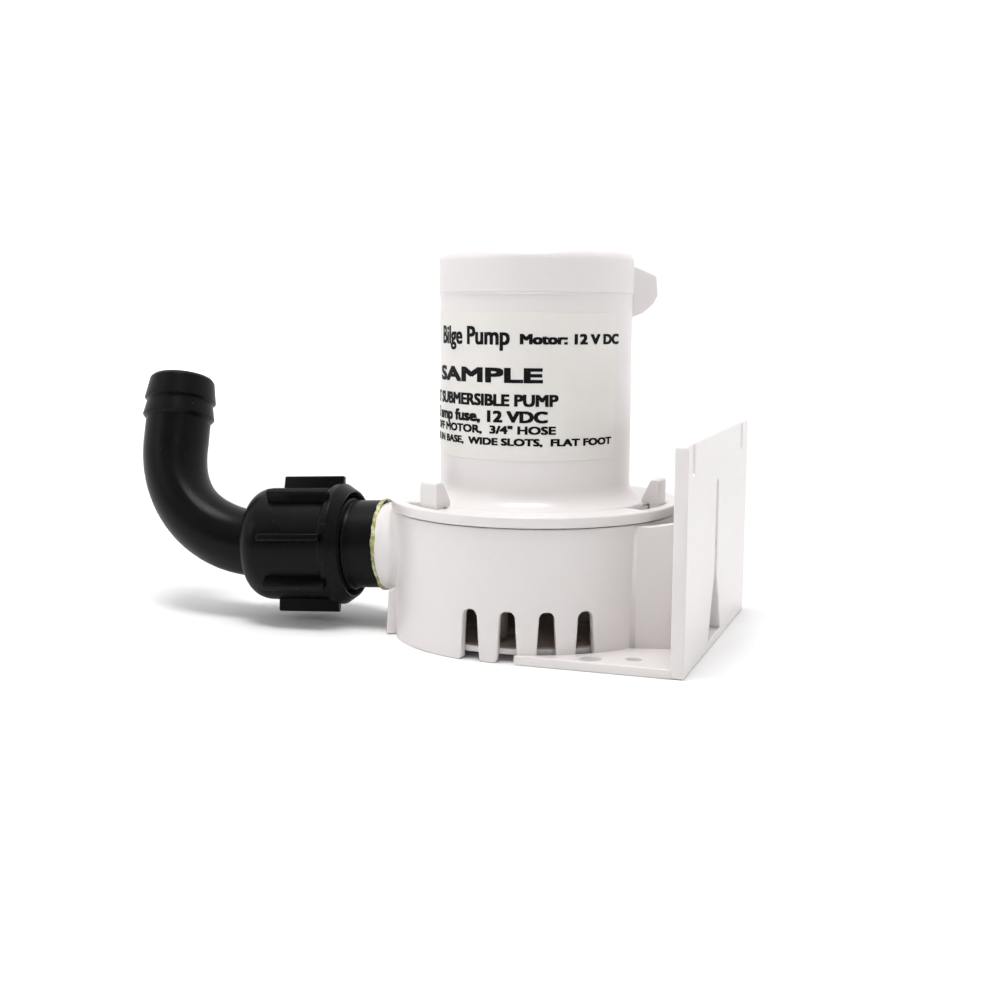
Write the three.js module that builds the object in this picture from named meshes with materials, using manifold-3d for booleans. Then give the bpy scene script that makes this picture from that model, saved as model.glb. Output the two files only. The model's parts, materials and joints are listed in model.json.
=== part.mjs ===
// Cartridge bilge pump: slotted base with a wall bracket, twist-off motor head,
// and a hose elbow held on the discharge by a ribbed union nut.
// Millimetres. +Z runs up the pump axis, the bracket is on +X, the discharge on -X.
import * as THREE from 'three';
import { mergeVertices } from 'three/addons/utils/BufferGeometryUtils.js';
import Module from 'manifold-3d';

const wasm = await Module();
wasm.setup();

// ---- driving dimensions ----
const GAP = 0.3;                 // clearance between pieces that rest on each other
const FIT = 0.1;                 // clearance round a piece that sits in a bore

const base = { radius: 39.0, footRadius: 38.6, wall: 2.2, top: 34.7, deck: 2.8, mouth: 29.9 };
const chamber = { floor: 13.0, floorTop: 14.8, start: 27.5, growth: 6.2, wall: 2.0, eye: 11.0 };
const slot = { top: 13.6, topWidth: 4.0, bottomWidth: 5.2, pitchDeg: 15 };
const strainer = { bottom: 1.8, top: 3.4, padRadius: 7.0 };
const hook = { width: 7.3, outer: 36.3, inner: 33.8, toe: 31.6, top: 44.6, count: 3, firstDeg: -122.5 };
const bracket = { inner: 47.2, outer: 50.65, near: -38.8, far: 49.5, top: 57.4 };
const foot = { left: 6.9, thickness: 2.45 };
const web = { startX: 32.2, startY: -20.5, angleDeg: 15, thickness: 2.4 };

const flange = { bottom: 35.0, top: 37.9, radius: 39.6, cove: 5.0 };
const shell = { radius: 26.1, wall: 2.1, top: 93.4, plug: 29.6, plugBottom: 31.2 };
const cap = { radius: 26.3, top: 104.7, roof: 2.4, spigot: 3.5 };
const lead = { azimuthDeg: 44, width: 13, reach: 36.4, height: 96.5 };
const label = { bottom: 50.5, top: 88.6, startDeg: -210, sweepDeg: 190, film: 0.25 };

const outlet = { origin: [-28.5, -3.8, 23.47], turnDeg: 4.84, droopDeg: 2.48, bore: 8.4 };
const boss = { radius: 12.9, end: 13.8, socket: 10.8, socketDepth: 9.0 };
const tail = { radius: 12.5, spigot: 10.6, thread: 13.2, threadStart: 25.2, end: 40.0 };
const nut = { start: 23.6, end: 54.0, collar: 17.3, body: 16.2, bore: 13.6, ribTip: 19.6, ribs: 8 };
const elbow = { tube: 9.7, bore: 7.9, collar: 13.0, bendStart: 52.4, bend: 31.0, leg: 20.1, leanDeg: 20 };

const shaft = { radius: 1.6, bottom: 17.5, top: 88.0 };
const can = { radius: 23.4, wall: 1.2, bottom: 39.8, top: 80.0 };
const core = { radius: 18.8, bottom: 47.0, top: 66.0, poles: 7, pocket: 3.0, pocketAt: 12.6 };
const impeller = { radius: 22.5, vanes: 5, bottom: 16.6, discBottom: 28.4, discTop: 30.4 };

// Facets round a full circle, for large, middle and small forms.
const facets = { large: 36, middle: 24, small: 12 };

const rad = THREE.MathUtils.degToRad;

// ---- solids: every form is a three.js geometry until a boolean needs it ----
function signedVolume(points, corners) {
  const [a, b, c] = [new THREE.Vector3(), new THREE.Vector3(), new THREE.Vector3()];
  let total = 0;
  for (let i = 0; i < corners.length; i += 3) {
    a.fromArray(points, corners[i] * 3);
    b.fromArray(points, corners[i + 1] * 3);
    c.fromArray(points, corners[i + 2] * 3);
    total += a.dot(b.cross(c)) / 6;
  }
  return total;
}

function solid(geometry) {
  const plain = geometry.clone();
  plain.deleteAttribute('normal');
  plain.deleteAttribute('uv');
  const merged = mergeVertices(plain);
  const points = merged.attributes.position.array;
  const index = merged.index.array;
  const corners = [];
  for (let i = 0; i < index.length; i += 3) {
    const [a, b, c] = [index[i], index[i + 1], index[i + 2]];
    if (a !== b && b !== c && c !== a) corners.push(a, b, c);
  }
  if (signedVolume(points, corners) < 0) corners.reverse();
  return new wasm.Manifold(new wasm.Mesh({
    numProp: 3,
    vertProperties: Float32Array.from(points),
    triVerts: Uint32Array.from(corners),
  }));
}

function geometryOf(body) {
  const mesh = body.getMesh();
  const geometry = new THREE.BufferGeometry();
  geometry.setAttribute('position', new THREE.BufferAttribute(Float32Array.from(mesh.vertProperties), 3));
  geometry.setIndex(Array.from(mesh.triVerts));
  geometry.computeVertexNormals();
  return geometry;
}

const joined = (...bodies) => bodies.reduce((sum, body) => sum.add(body));
const less = (body, ...cutters) => cutters.reduce((rest, cutter) => rest.subtract(cutter), body);

// A turned form about Z from [radius, height] points; a profile off the axis is closed first.
function turned(profile, segments = facets.middle) {
  const offAxis = profile[0][0] > 0 || profile.at(-1)[0] > 0;
  const outline = offAxis ? [...profile, profile[0]] : profile;
  const points = outline.map(([radius, height]) => new THREE.Vector2(radius, height));
  return new THREE.LatheGeometry(points, segments).rotateX(Math.PI / 2);
}

const ring = (outer, inner, low, high, segments) =>
  turned([[inner, low], [outer, low], [outer, high], [inner, high]], segments);

const rod = (radius, low, high, segments) =>
  turned([[0, low], [radius, low], [radius, high], [0, high]], segments);

const block = (x0, x1, y0, y1, z0, z1) =>
  new THREE.BoxGeometry(x1 - x0, y1 - y0, z1 - z0).translate((x0 + x1) / 2, (y0 + y1) / 2, (z0 + z1) / 2);

const prism = (shape, low, high, curveSegments = 4) =>
  new THREE.ExtrudeGeometry(shape, { depth: high - low, bevelEnabled: false, curveSegments })
    .translate(0, 0, low);

const outlineOf = (points) => new THREE.Shape(points.map(([x, y]) => new THREE.Vector2(x, y)));

// A plate drawn in the X-Z plane, centred on Y.
const uprightPlate = (shape, thickness) =>
  prism(shape, -thickness / 2, thickness / 2).rotateX(Math.PI / 2);

// Round points on an arc, for profiles.
function arc(centre, radius, fromDeg, toDeg, steps) {
  return Array.from({ length: steps + 1 }, (_, i) => {
    const angle = rad(fromDeg + (toDeg - fromDeg) * i / steps);
    return [centre[0] + radius * Math.cos(angle), centre[1] + radius * Math.sin(angle)];
  });
}

function sector(inner, outer, fromDeg, toDeg) {
  const shape = new THREE.Shape();
  shape.absarc(0, 0, outer, rad(fromDeg), rad(toDeg), false);
  shape.absarc(0, 0, inner, rad(toDeg), rad(fromDeg), true);
  return shape;
}

// ---- materials ----
const finish = (color, roughness, metalness = 0) =>
  new THREE.MeshStandardMaterial({ color, roughness, metalness });

const finishes = {
  whitePlastic: finish(0xe9e5e3, 0.32),
  blackPlastic: finish(0x141415, 0.38),
  labelFilm: finish(0xf1efec, 0.45),
  glue: finish(0xb9bd6a, 0.3),
  rubber: finish(0x1b1b1c, 0.8),
  steel: finish(0xb8bbbd, 0.3, 1),
  zincSteel: finish(0x9ea3a6, 0.4, 1),
  ferrite: finish(0x3a3a3d, 0.7),
  copper: finish(0xb5653a, 0.35, 1),
  bronze: finish(0xa8834a, 0.45, 1),
  carbon: finish(0x262626, 0.75),
  board: finish(0x6b4a2c, 0.7),
};

const assembly = new THREE.Group();
assembly.name = 'bilge_pump';

function place(name, geometry, material, parent = assembly) {
  const mesh = new THREE.Mesh(geometry, material.clone());
  mesh.name = name;
  parent.add(mesh);
}

// ---- the discharge line: +X runs outwards along the fittings, +Z is up ----
const dischargeLine = new THREE.Group();
dischargeLine.position.set(...outlet.origin);
dischargeLine.rotation.set(0, rad(outlet.droopDeg), Math.PI + rad(outlet.turnDeg), 'ZYX');
dischargeLine.updateMatrix();
assembly.add(dischargeLine);

const alongLine = (geometry) => geometry.rotateY(Math.PI / 2);
const atDischarge = (geometry) => alongLine(geometry).applyMatrix4(dischargeLine.matrix);

// ---- base housing ----
function outerWall() {
  const inner = base.radius - base.wall;
  return turned([
    [base.footRadius - base.wall, 0], [base.footRadius - 0.6, 0], [base.footRadius, 0.6],
    [base.radius, base.top - 0.5], [base.radius - 0.5, base.top], [inner, base.top],
  ], facets.large);
}

// The scroll of the pump chamber: its radius grows evenly round to the discharge.
function scrollOutline(offset) {
  const steps = 24;
  const startDeg = 190;
  return outlineOf(Array.from({ length: steps + 1 }, (_, i) => {
    const angle = rad(startDeg + 360 * i / steps);
    const radius = chamber.start + offset + chamber.growth * i / steps;
    return [radius * Math.cos(angle), radius * Math.sin(angle)];
  }));
}

function chamberShell() {
  const deckBottom = base.top - base.deck;
  const overlap = 0.5;
  return joined(
    solid(ring(base.radius - 1, base.mouth, deckBottom, base.top, facets.large)),
    solid(rod(base.radius - 1, chamber.floor, chamber.floorTop, facets.large)),
    solid(prism(scrollOutline(chamber.wall), chamber.floor + overlap, deckBottom + overlap)),
    solid(rod(chamber.eye + 1.6, chamber.floor - 1.6, chamber.floor + overlap)),
  );
}

function chamberHollow() {
  return joined(
    solid(prism(scrollOutline(0), chamber.floorTop, base.top - base.deck)),
    solid(rod(base.mouth, base.top - base.deck - 1, base.top + 1, facets.large)),
    solid(rod(chamber.eye, chamber.floor - 3, chamber.floorTop + 1)),
  );
}

// One intake slot: open at the bottom, a little wider there, with a round top.
function intakeSlot(azimuthDeg) {
  const radius = slot.topWidth / 2;
  const shape = new THREE.Shape();
  shape.moveTo(-slot.bottomWidth / 2, -1);
  shape.lineTo(slot.bottomWidth / 2, -1);
  shape.absarc(0, slot.top - radius, radius, 0, Math.PI, false);
  const depth = 8;
  return solid(prism(shape, 0, depth, 3)
    .rotateX(Math.PI / 2)
    .translate(0, depth - base.radius - 3, 0)
    .rotateZ(rad(azimuthDeg)));
}

const slotAzimuths = () => {
  const front = [-0.5, 0.5, 1.5, 2.5].map((step) => step * slot.pitchDeg);
  const back = front.map((azimuth) => 180 - azimuth);
  const left = [-0.5, 0.5].map((step) => 270 + step * slot.pitchDeg);
  return [...front, ...back, ...left];
};

// A bayonet hook: an upright post with a ramped toe that reaches in over the head's flange.
function deckHook(azimuthDeg) {
  const underToe = flange.top + GAP + 0.1;
  const shape = outlineOf([
    [hook.inner, base.top - 1], [hook.outer, base.top - 1], [hook.outer, hook.top - 0.6],
    [hook.outer - 0.6, hook.top], [hook.inner + 0.6, hook.top], [hook.toe, underToe + 1.2],
    [hook.toe, underToe], [hook.inner, underToe],
  ]);
  return solid(uprightPlate(shape, hook.width).rotateZ(rad(azimuthDeg)));
}

const hookAzimuths = () =>
  Array.from({ length: hook.count }, (_, i) => hook.firstDeg + i * 360 / hook.count);

// One upright web from the round wall to the bracket; side is 1 in front and -1 behind.
function bracketWeb(side) {
  const length = (bracket.inner + 1 - web.startX) / Math.cos(rad(web.angleDeg));
  const shape = outlineOf([[0, 0], [length, 0], [length, 36.0], [5.5, 34.2], [0, 34.2]]);
  const plate = uprightPlate(shape, web.thickness)
    .translate(0, web.thickness / 2, 0)
    .rotateZ(rad(web.angleDeg))
    .translate(web.startX, web.startY, 0);
  return solid(side > 0 ? plate : plate.applyMatrix4(new THREE.Matrix4().makeScale(1, -1, 1)));
}

function footPlate(side) {
  const shape = new THREE.Shape();
  const corner = 1.6;
  shape.moveTo(foot.left, -20);
  shape.lineTo(foot.left, bracket.near + corner);
  shape.absarc(foot.left + corner, bracket.near + corner, corner, Math.PI, Math.PI * 1.5, false);
  shape.lineTo(bracket.inner + 1, bracket.near);
  shape.lineTo(bracket.inner + 1, -14);
  const screwHoles = [[25.9, -34.5, 2.75], [36.4, -31.4, 2.1]];
  for (const [x, y, radius] of screwHoles) {
    const hole = new THREE.Path();
    hole.absarc(x, y, radius, 0, Math.PI * 2, true);
    shape.holes.push(hole);
  }
  const plate = prism(shape, 0, foot.thickness, 6);
  const placed = side > 0 ? plate : plate.applyMatrix4(new THREE.Matrix4().makeScale(1, -1, 1));
  return less(solid(placed), solid(rod(base.radius - 1.5, -1, foot.thickness + 1, facets.large)));
}

// The wall bracket: a flat plate with a flared hanging slot and two notches in its top edge.
function bracketPlate() {
  const middle = 1.6;
  const shape = outlineOf([
    [bracket.near, 0], [bracket.far, 0], [bracket.far, bracket.top - 1], [bracket.far - 1, bracket.top],
    [bracket.near + 1, bracket.top], [bracket.near, bracket.top - 1],
  ]);
  const hanger = outlineOf([
    [middle - 9, foot.thickness], [middle + 9, foot.thickness], [middle + 1.5, 19.8],
    [middle + 1.5, 44.8], [middle - 1.5, 44.8], [middle - 1.5, 19.8],
  ]);
  shape.holes.push(hanger);
  const notches = [-31.9, 38.6].map((y) => block(bracket.inner - 1, bracket.outer + 1,
    y - 1.6, y + 1.6, bracket.top - 8, bracket.top + 1));
  const plate = prism(shape, bracket.inner, bracket.outer).applyMatrix4(
    new THREE.Matrix4().makeBasis(new THREE.Vector3(0, 1, 0), new THREE.Vector3(0, 0, 1),
      new THREE.Vector3(1, 0, 0)));
  return less(solid(plate), ...notches.map(solid));
}

function dischargeBoss() {
  return solid(atDischarge(turned([
    [0, -6], [boss.radius + 0.8, -6], [boss.radius + 0.8, 9], [boss.radius, 11.5],
    [boss.radius, boss.end - 0.5], [boss.radius - 0.5, boss.end], [0, boss.end],
  ])));
}

function dischargePassage() {
  const socketStart = boss.end - boss.socketDepth;
  return joined(
    solid(atDischarge(rod(outlet.bore, -12, boss.end))),
    solid(atDischarge(rod(boss.socket, socketStart, boss.end + 1))),
  );
}

// A short upright rib on the wall beside the discharge.
function wallRib() {
  const shape = outlineOf([[37.5, 0], [41.2, 0], [40.6, 12], [37.5, 13]]);
  return solid(uprightPlate(shape, 2).rotateZ(rad(206)));
}

function baseHousing() {
  const slotted = less(solid(outerWall()), ...slotAzimuths().map(intakeSlot));
  const shellAndBoss = joined(slotted, chamberShell(), dischargeBoss(), wallRib());
  const hollow = less(shellAndBoss, chamberHollow(), dischargePassage(), belowFlange());
  return joined(hollow, bracketPlate(), bracketWeb(1), bracketWeb(-1), footPlate(1), footPlate(-1),
    ...hookAzimuths().map(deckHook));
}

// The round boss stops below the head's flange.
function belowFlange() {
  return solid(rod(60, base.top, base.top + 6, facets.small));
}

// ---- strainer floor ----
function strainerFloor() {
  const radius = base.footRadius - base.wall - GAP;
  const deck = solid(turned([
    [0, 0], [strainer.padRadius, 0], [strainer.padRadius, strainer.bottom],
    [radius, strainer.bottom], [radius, strainer.top], [0, strainer.top],
  ], facets.large));
  const slots = Array.from({ length: 8 }, (_, i) =>
    solid(block(14, 29, -1.5, 1.5, strainer.bottom - 1, strainer.top + 1).rotateZ(i * Math.PI / 4)));
  const posts = Array.from({ length: 3 }, (_, i) =>
    solid(rod(2.4, strainer.top - 0.5, chamber.floor - GAP, 10).translate(22, 0, 0)
      .rotateZ(Math.PI / 8 + i * Math.PI * 2 / 3)));
  return joined(less(deck, ...slots), ...posts);
}

// ---- discharge fittings, drawn along the line and turned onto it ----
function tailPiece() {
  const [inner, shoulder] = [outlet.bore, boss.end + GAP];
  return alongLine(turned([
    [inner, boss.end - boss.socketDepth + GAP], [tail.spigot, boss.end - boss.socketDepth + GAP],
    [tail.spigot, shoulder], [tail.radius, shoulder], [tail.radius, tail.threadStart - 0.7],
    [tail.thread, tail.threadStart], [tail.thread, tail.end - 0.6], [tail.thread - 0.6, tail.end],
    [inner, tail.end],
  ]));
}

function glueBead() {
  const middle = boss.end + GAP / 2;
  return alongLine(turned([
    [boss.radius + FIT, middle - 0.9], [boss.radius + 0.55, middle - 0.5], [boss.radius + 0.6, middle + 0.4],
    [boss.radius + 0.2, middle + 1.1], [tail.radius + FIT, middle + 1.2], [tail.radius + FIT, middle + GAP],
    [boss.radius + FIT, middle + GAP],
  ]));
}

function unionSeal() {
  return alongLine(ring(12.4, outlet.bore + 0.4, tail.end + GAP, tail.end + 1.6));
}

// The nut: a thread barrel, a round shoulder that closes on the elbow and ribs for the hand.
function unionNut() {
  const [lip, shoulderStart] = [elbow.tube + 0.45, 48.0];
  const shoulder = Array.from({ length: 5 }, (_, i) => {
    const angle = rad(90 * i / 4);
    return [11.6 + (nut.body - 11.6) * Math.cos(angle),
      shoulderStart + (nut.end - shoulderStart) * Math.sin(angle)];
  });
  const barrel = solid(turned([
    [nut.bore, nut.start], [nut.bore + 1.1, nut.start], [nut.collar - 0.4, nut.start + 2.8],
    [nut.collar, nut.start + 3.4], [nut.collar, nut.start + 5], ...shoulder,
    [lip, nut.end], [lip, 46.1], [nut.bore, 46.1],
  ]));
  const ribShape = outlineOf([[nut.bore + 1, -1.5], [nut.ribTip, -0.9], [nut.ribTip, 0.9], [nut.bore + 1, 1.5]]);
  const [ribStart, ribEnd, firstRibDeg] = [27.6, 45.9, 14.3];
  const ribs = Array.from({ length: nut.ribs }, (_, i) =>
    solid(prism(ribShape, ribStart, ribEnd).rotateZ(rad(90 + firstRibDeg + i * 360 / nut.ribs))));
  return alongLine(geometryOf(joined(barrel, ...ribs)));
}

// The centre line of the elbow in the line's own frame: in, round the bend and up the leg.
class Bend extends THREE.Curve {
  getPoint(t, target = new THREE.Vector3()) {
    const angle = t * Math.PI / 2;
    return target.set(elbow.bendStart + elbow.bend * Math.sin(angle), 0, elbow.bend * (1 - Math.cos(angle)));
  }
}

function bentRod(radius, overrun, sides) {
  const section = new THREE.Shape();
  section.absarc(0, 0, radius, 0, Math.PI * 2, false);
  const path = new THREE.CurvePath();
  const start = new THREE.Vector3(tail.end + 1.9 - overrun, 0, 0);
  const bendIn = new THREE.Vector3(elbow.bendStart, 0, 0);
  const bendOut = new THREE.Vector3(elbow.bendStart + elbow.bend, 0, elbow.bend);
  const end = bendOut.clone().setZ(elbow.bend + elbow.leg + overrun);
  path.add(new THREE.LineCurve3(start, bendIn));
  path.add(new Bend());
  path.add(new THREE.LineCurve3(bendOut, end));
  return new THREE.ExtrudeGeometry(section, { steps: 15, extrudePath: path, curveSegments: sides / 2 });
}

function elbowBarb() {
  const mouth = elbow.bend + elbow.leg;
  const collarStart = tail.end + 1.9;
  const collar = solid(alongLine(rod(elbow.collar, collarStart, 45.8)));
  const barbs = solid(turned([
    [0, mouth - 13.4], [9.7, mouth - 13.4], [10.75, mouth - 12.4], [9.95, mouth - 7.6], [10.75, mouth - 7.1],
    [9.8, mouth - 0.8], [9.2, mouth], [0, mouth],
  ]).translate(elbow.bendStart + elbow.bend, 0, 0));
  const body = less(joined(solid(bentRod(elbow.tube, 0, 20)), collar, barbs), solid(bentRod(elbow.bore, 2, 12)));
  return geometryOf(body).rotateX(rad(elbow.leanDeg));
}

// ---- motor head ----
function motorShell() {
  const coveCentre = [shell.radius + flange.cove, flange.top + flange.cove];
  const body = solid(turned([
    [7.2, shell.plugBottom], [shell.plug, shell.plugBottom], [shell.plug, 32.0], [28.3, 32.0],
    [28.3, 33.8], [shell.plug, 33.8], [shell.plug, flange.bottom], [flange.radius, flange.bottom],
    [flange.radius, flange.top - 0.6], [flange.radius - 0.6, flange.top],
    ...arc(coveCentre, flange.cove, 270, 180, 3),
    [shell.radius, shell.top], [shell.radius - shell.wall, shell.top],
    [shell.radius - shell.wall, 39.5], [3.2, 39.5], [3.2, 36.4], [7.2, 36.4],
  ], facets.large));
  const windows = hookAzimuths().flatMap(flangeWindow);
  return geometryOf(less(body, ...windows));
}

// A hook's window: narrow where the toe locks, wide at the end where the hook lifts out.
function flangeWindow(azimuthDeg) {
  const half = 7.0;
  const release = 20.5;
  const outer = hook.outer + 0.4;
  const span = (inner, fromDeg, toDeg) =>
    solid(prism(sector(inner, outer, azimuthDeg + fromDeg, azimuthDeg + toDeg), flange.bottom - 1, flange.top + 1));
  return [span(hook.inner - 0.4, -release, half), span(hook.toe - 0.4, -release, -release + 14.5)];
}

// The cap carries the lead exit, a hooded snout that hangs over the parting line.
function motorCap() {
  const low = shell.top + GAP;
  const inner = shell.radius - shell.wall - FIT * 2;
  const dome = solid(turned([
    [0, low - cap.spigot], [inner, low - cap.spigot], [inner, low], [cap.radius, low],
    [cap.radius, cap.top - 3.2], [cap.radius - 0.4, cap.top - 1.3], [cap.radius - 1.6, cap.top - 0.3],
    [cap.radius - 3.2, cap.top], [0, cap.top],
  ], facets.large));
  const hollow = solid(rod(inner - 2, low - cap.spigot - 1, cap.top - cap.roof));
  const snoutShape = outlineOf([
    [cap.radius - 4, low + 0.1], [shell.radius + 0.3, low + 0.1], [shell.radius + 0.3, 87.3],
    [30.5, 88.4], [35.0, 91.6], [lead.reach, 94.6], [35.6, 99.0], [34.6, 99.8], [27.4, 101.9],
    [cap.radius - 4, 102.2],
  ]);
  const snout = less(solid(uprightPlate(snoutShape, lead.width)),
    solid(turned([[0, 0], [cap.radius - 1, 0], [cap.radius - 1, 120], [0, 120]])));
  const wireHole = solid(rod(2.6, cap.radius - 6, lead.reach + 2, facets.small)
    .rotateY(Math.PI / 2).translate(0, 0, lead.height));
  return geometryOf(less(joined(less(dome, hollow), snout.rotate([0, 0, lead.azimuthDeg])),
    wireHole.rotate([0, 0, lead.azimuthDeg])));
}

function leadGrommet() {
  const reach = 35.2;
  const body = solid(rod(2.4, cap.radius - 5, reach, facets.small)
    .rotateY(Math.PI / 2).translate(0, 0, lead.height));
  const holes = [-1.05, 1.05].map((y) =>
    solid(rod(0.7, cap.radius - 6, reach + 1, 8).rotateY(Math.PI / 2).translate(0, y, lead.height)));
  return geometryOf(less(body, ...holes).rotate([0, 0, lead.azimuthDeg]));
}

function ratingLabel() {
  const inner = shell.radius + 0.12;
  const shape = sector(inner, inner + label.film, label.startDeg, label.startDeg + label.sweepDeg);
  return prism(shape, label.bottom, label.top, 17);
}

const oRing = (radius, thickness, height) =>
  turned(arc([radius, height], thickness / 2, 0, 288, 4), facets.middle);

// ---- motor inside the head ----
function motorCan() {
  return ring(can.radius, can.radius - can.wall, can.bottom, can.top);
}

function canEnd() {
  return turned([
    [5.2, can.bottom + 0.1], [can.radius - can.wall - FIT, can.bottom + 0.1],
    [can.radius - can.wall - FIT, can.bottom + 1.5], [7.0, can.bottom + 1.5],
    [6.4, can.bottom + 4.2], [5.2, can.bottom + 4.2],
  ]);
}

const magnet = (middleDeg) =>
  prism(sector(19.6, can.radius - can.wall - 0.2, middleDeg - 68, middleDeg + 68), 45.0, 69.0, 9);

function armatureCore() {
  const blank = solid(ring(core.radius, shaft.radius + 0.02, core.bottom, core.top, 35));
  const cuts = Array.from({ length: core.poles }, (_, i) => {
    const pocket = solid(rod(core.pocket, core.bottom - 1, core.top + 1, 8).translate(core.pocketAt, 0, 0));
    const mouth = solid(block(core.pocketAt, core.radius + 1, -0.8, 0.8, core.bottom - 1, core.top + 1));
    return joined(pocket, mouth).rotate([0, 0, i * 360 / core.poles]);
  });
  return geometryOf(less(blank, ...cuts));
}

function windings() {
  const turns = Array.from({ length: core.poles }, (_, i) =>
    solid(rod(core.pocket - 0.3, core.bottom - 2, core.top + 2, 7).translate(core.pocketAt, 0, 0)
      .rotateZ(i * Math.PI * 2 / core.poles)));
  const endTurns = (low, high) => solid(turned([
    [7.5, low], [15.0, low], [16.6, low + 1.2], [16.6, high - 1.2], [15.0, high], [7.5, high],
  ], 18));
  return geometryOf(joined(endTurns(core.bottom - 4, core.bottom - GAP),
    endTurns(core.top + GAP, core.top + 4.2), ...turns));
}

function commutator() {
  const [low, high] = [72.4, 79.6];
  const drum = solid(ring(5.4, shaft.radius + 0.02, low, high, 28));
  const slits = Array.from({ length: core.poles }, (_, i) =>
    solid(block(4.6, 6, -0.25, 0.25, low - 1, high + 1).rotateZ((i + 0.5) * Math.PI * 2 / core.poles)));
  return geometryOf(less(drum, ...slits));
}

// A ring board with two open brush channels.
function brushCard() {
  const board = solid(ring(21.8, 8.0, 70.6, 72.2));
  const channels = [0, 180].flatMap((azimuth) => [-1, 1].map((side) => solid(
    block(7.6, 18.5, side > 0 ? 2.4 : -3.4, side > 0 ? 3.4 : -2.4, 72.0, 78.6).rotateZ(rad(azimuth)))));
  const stops = [0, 180].map((azimuth) => solid(block(17.5, 18.8, -3.4, 3.4, 72.0, 78.6).rotateZ(rad(azimuth))));
  return geometryOf(joined(board, ...channels, ...stops));
}

const brush = (azimuthDeg) => block(5.6, 12.2, -2.1, 2.1, 72.6, 78.2).rotateZ(rad(azimuthDeg));

// A coil spring that pushes a brush in; its axis is the brush's own.
class Coil extends THREE.Curve {
  getPoint(t, target = new THREE.Vector3()) {
    const angle = t * Math.PI * 2 * 4;
    return target.set(12.7 + 4.3 * t, 1.45 * Math.cos(angle), 75.4 + 1.45 * Math.sin(angle));
  }
}

function brushSpring(azimuthDeg) {
  const wire = new THREE.Shape();
  wire.absarc(0, 0, 0.22, 0, Math.PI * 2, false);
  return new THREE.ExtrudeGeometry(wire, { steps: 28, extrudePath: new Coil(), curveSegments: 2 })
    .rotateZ(rad(azimuthDeg));
}

function endBell() {
  return turned([
    [4.2, 83.6], [6.2, 83.6], [6.2, can.top + 2.6], [can.radius - 3, can.top + 2.6],
    [can.radius - 3, can.top + GAP], [can.radius, can.top + GAP], [can.radius, can.top + 5.4],
    [can.radius - 1, can.top + 6.4], [9, can.top + 6.4], [7.4, 88.6], [4.2, 88.6],
  ]);
}

const bearing = (outer, low, high) => ring(outer, shaft.radius + 0.05, low, high, facets.small);

function shaftSeal() {
  return turned([
    [1.75, 33.8], [2.6, 32.8], [4.2, 32.6], [4.2, 31.6], [6.9, 31.6], [6.9, 36.0], [4.6, 36.0], [2.3, 34.6],
  ], 16);
}

// ---- impeller: a back disc and hub with swept vanes hanging from the disc ----
function impellerWheel() {
  const disc = solid(turned([
    [shaft.radius + 0.02, impeller.bottom + 2], [4.0, impeller.bottom + 2], [4.6, 22],
    [6.5, impeller.discBottom], [impeller.radius, impeller.discBottom + 0.5],
    [impeller.radius, impeller.discTop], [shaft.radius + 0.02, impeller.discTop],
  ]));
  const vanes = Array.from({ length: impeller.vanes }, (_, i) =>
    solid(prism(vaneOutline(), impeller.bottom, impeller.discTop - 0.4).rotateZ(i * Math.PI * 2 / impeller.vanes)));
  return geometryOf(less(joined(disc, ...vanes), solid(rod(shaft.radius + 0.02, 10, 40, facets.small))));
}

// A vane swept back along a spiral, 1.6 mm thick.
function vaneOutline() {
  const steps = 6;
  const sweepDeg = 62;
  const line = (shift) => Array.from({ length: steps + 1 }, (_, i) => {
    const t = i / steps;
    const radius = 4.2 + (impeller.radius - 4.3) * t;
    const angle = -rad(sweepDeg) * t + shift / radius;
    return [radius * Math.cos(angle), radius * Math.sin(angle)];
  });
  return outlineOf([...line(-0.8), ...line(0.8).reverse()]);
}

// ---- assembly ----
place('base_housing', geometryOf(baseHousing()), finishes.whitePlastic);
place('strainer_floor', geometryOf(strainerFloor()), finishes.whitePlastic);

place('outlet_tailpiece', tailPiece(), finishes.blackPlastic, dischargeLine);
place('glue_bead', glueBead(), finishes.glue, dischargeLine);
place('union_seal', unionSeal(), finishes.rubber, dischargeLine);
place('union_nut', unionNut(), finishes.blackPlastic, dischargeLine);
place('elbow_barb', elbowBarb(), finishes.blackPlastic, dischargeLine);

place('motor_shell', motorShell(), finishes.whitePlastic);
place('motor_cap', motorCap(), finishes.whitePlastic);
place('rating_label', ratingLabel(), finishes.labelFilm);
place('lead_grommet', leadGrommet(), finishes.rubber);
place('head_o_ring', oRing(29.1, 1.3, 32.9), finishes.rubber);
place('shaft_seal', shaftSeal(), finishes.rubber);

place('motor_can', motorCan(), finishes.zincSteel);
place('can_end', canEnd(), finishes.zincSteel);
place('magnet_front', magnet(-90), finishes.ferrite);
place('magnet_rear', magnet(90), finishes.ferrite);
place('end_bell', endBell(), finishes.board);
place('brush_card', brushCard(), finishes.board);
place('lower_bearing', bearing(5.1, can.bottom + 0.1, can.bottom + 4.0), finishes.bronze);
place('upper_bearing', bearing(4.1, 83.8, 88.4), finishes.bronze);
[['right', 0], ['left', 180]].forEach(([side, azimuth]) => {
  place(`brush_${side}`, brush(azimuth), finishes.carbon);
  place(`brush_spring_${side}`, brushSpring(azimuth), finishes.steel);
});

place('motor_shaft', rod(shaft.radius, shaft.bottom, shaft.top, facets.small), finishes.steel);
place('armature_core', armatureCore(), finishes.zincSteel);
place('armature_winding', windings(), finishes.copper);
place('commutator', commutator(), finishes.copper);
place('impeller', impellerWheel(), finishes.blackPlastic);

export default assembly;
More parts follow.
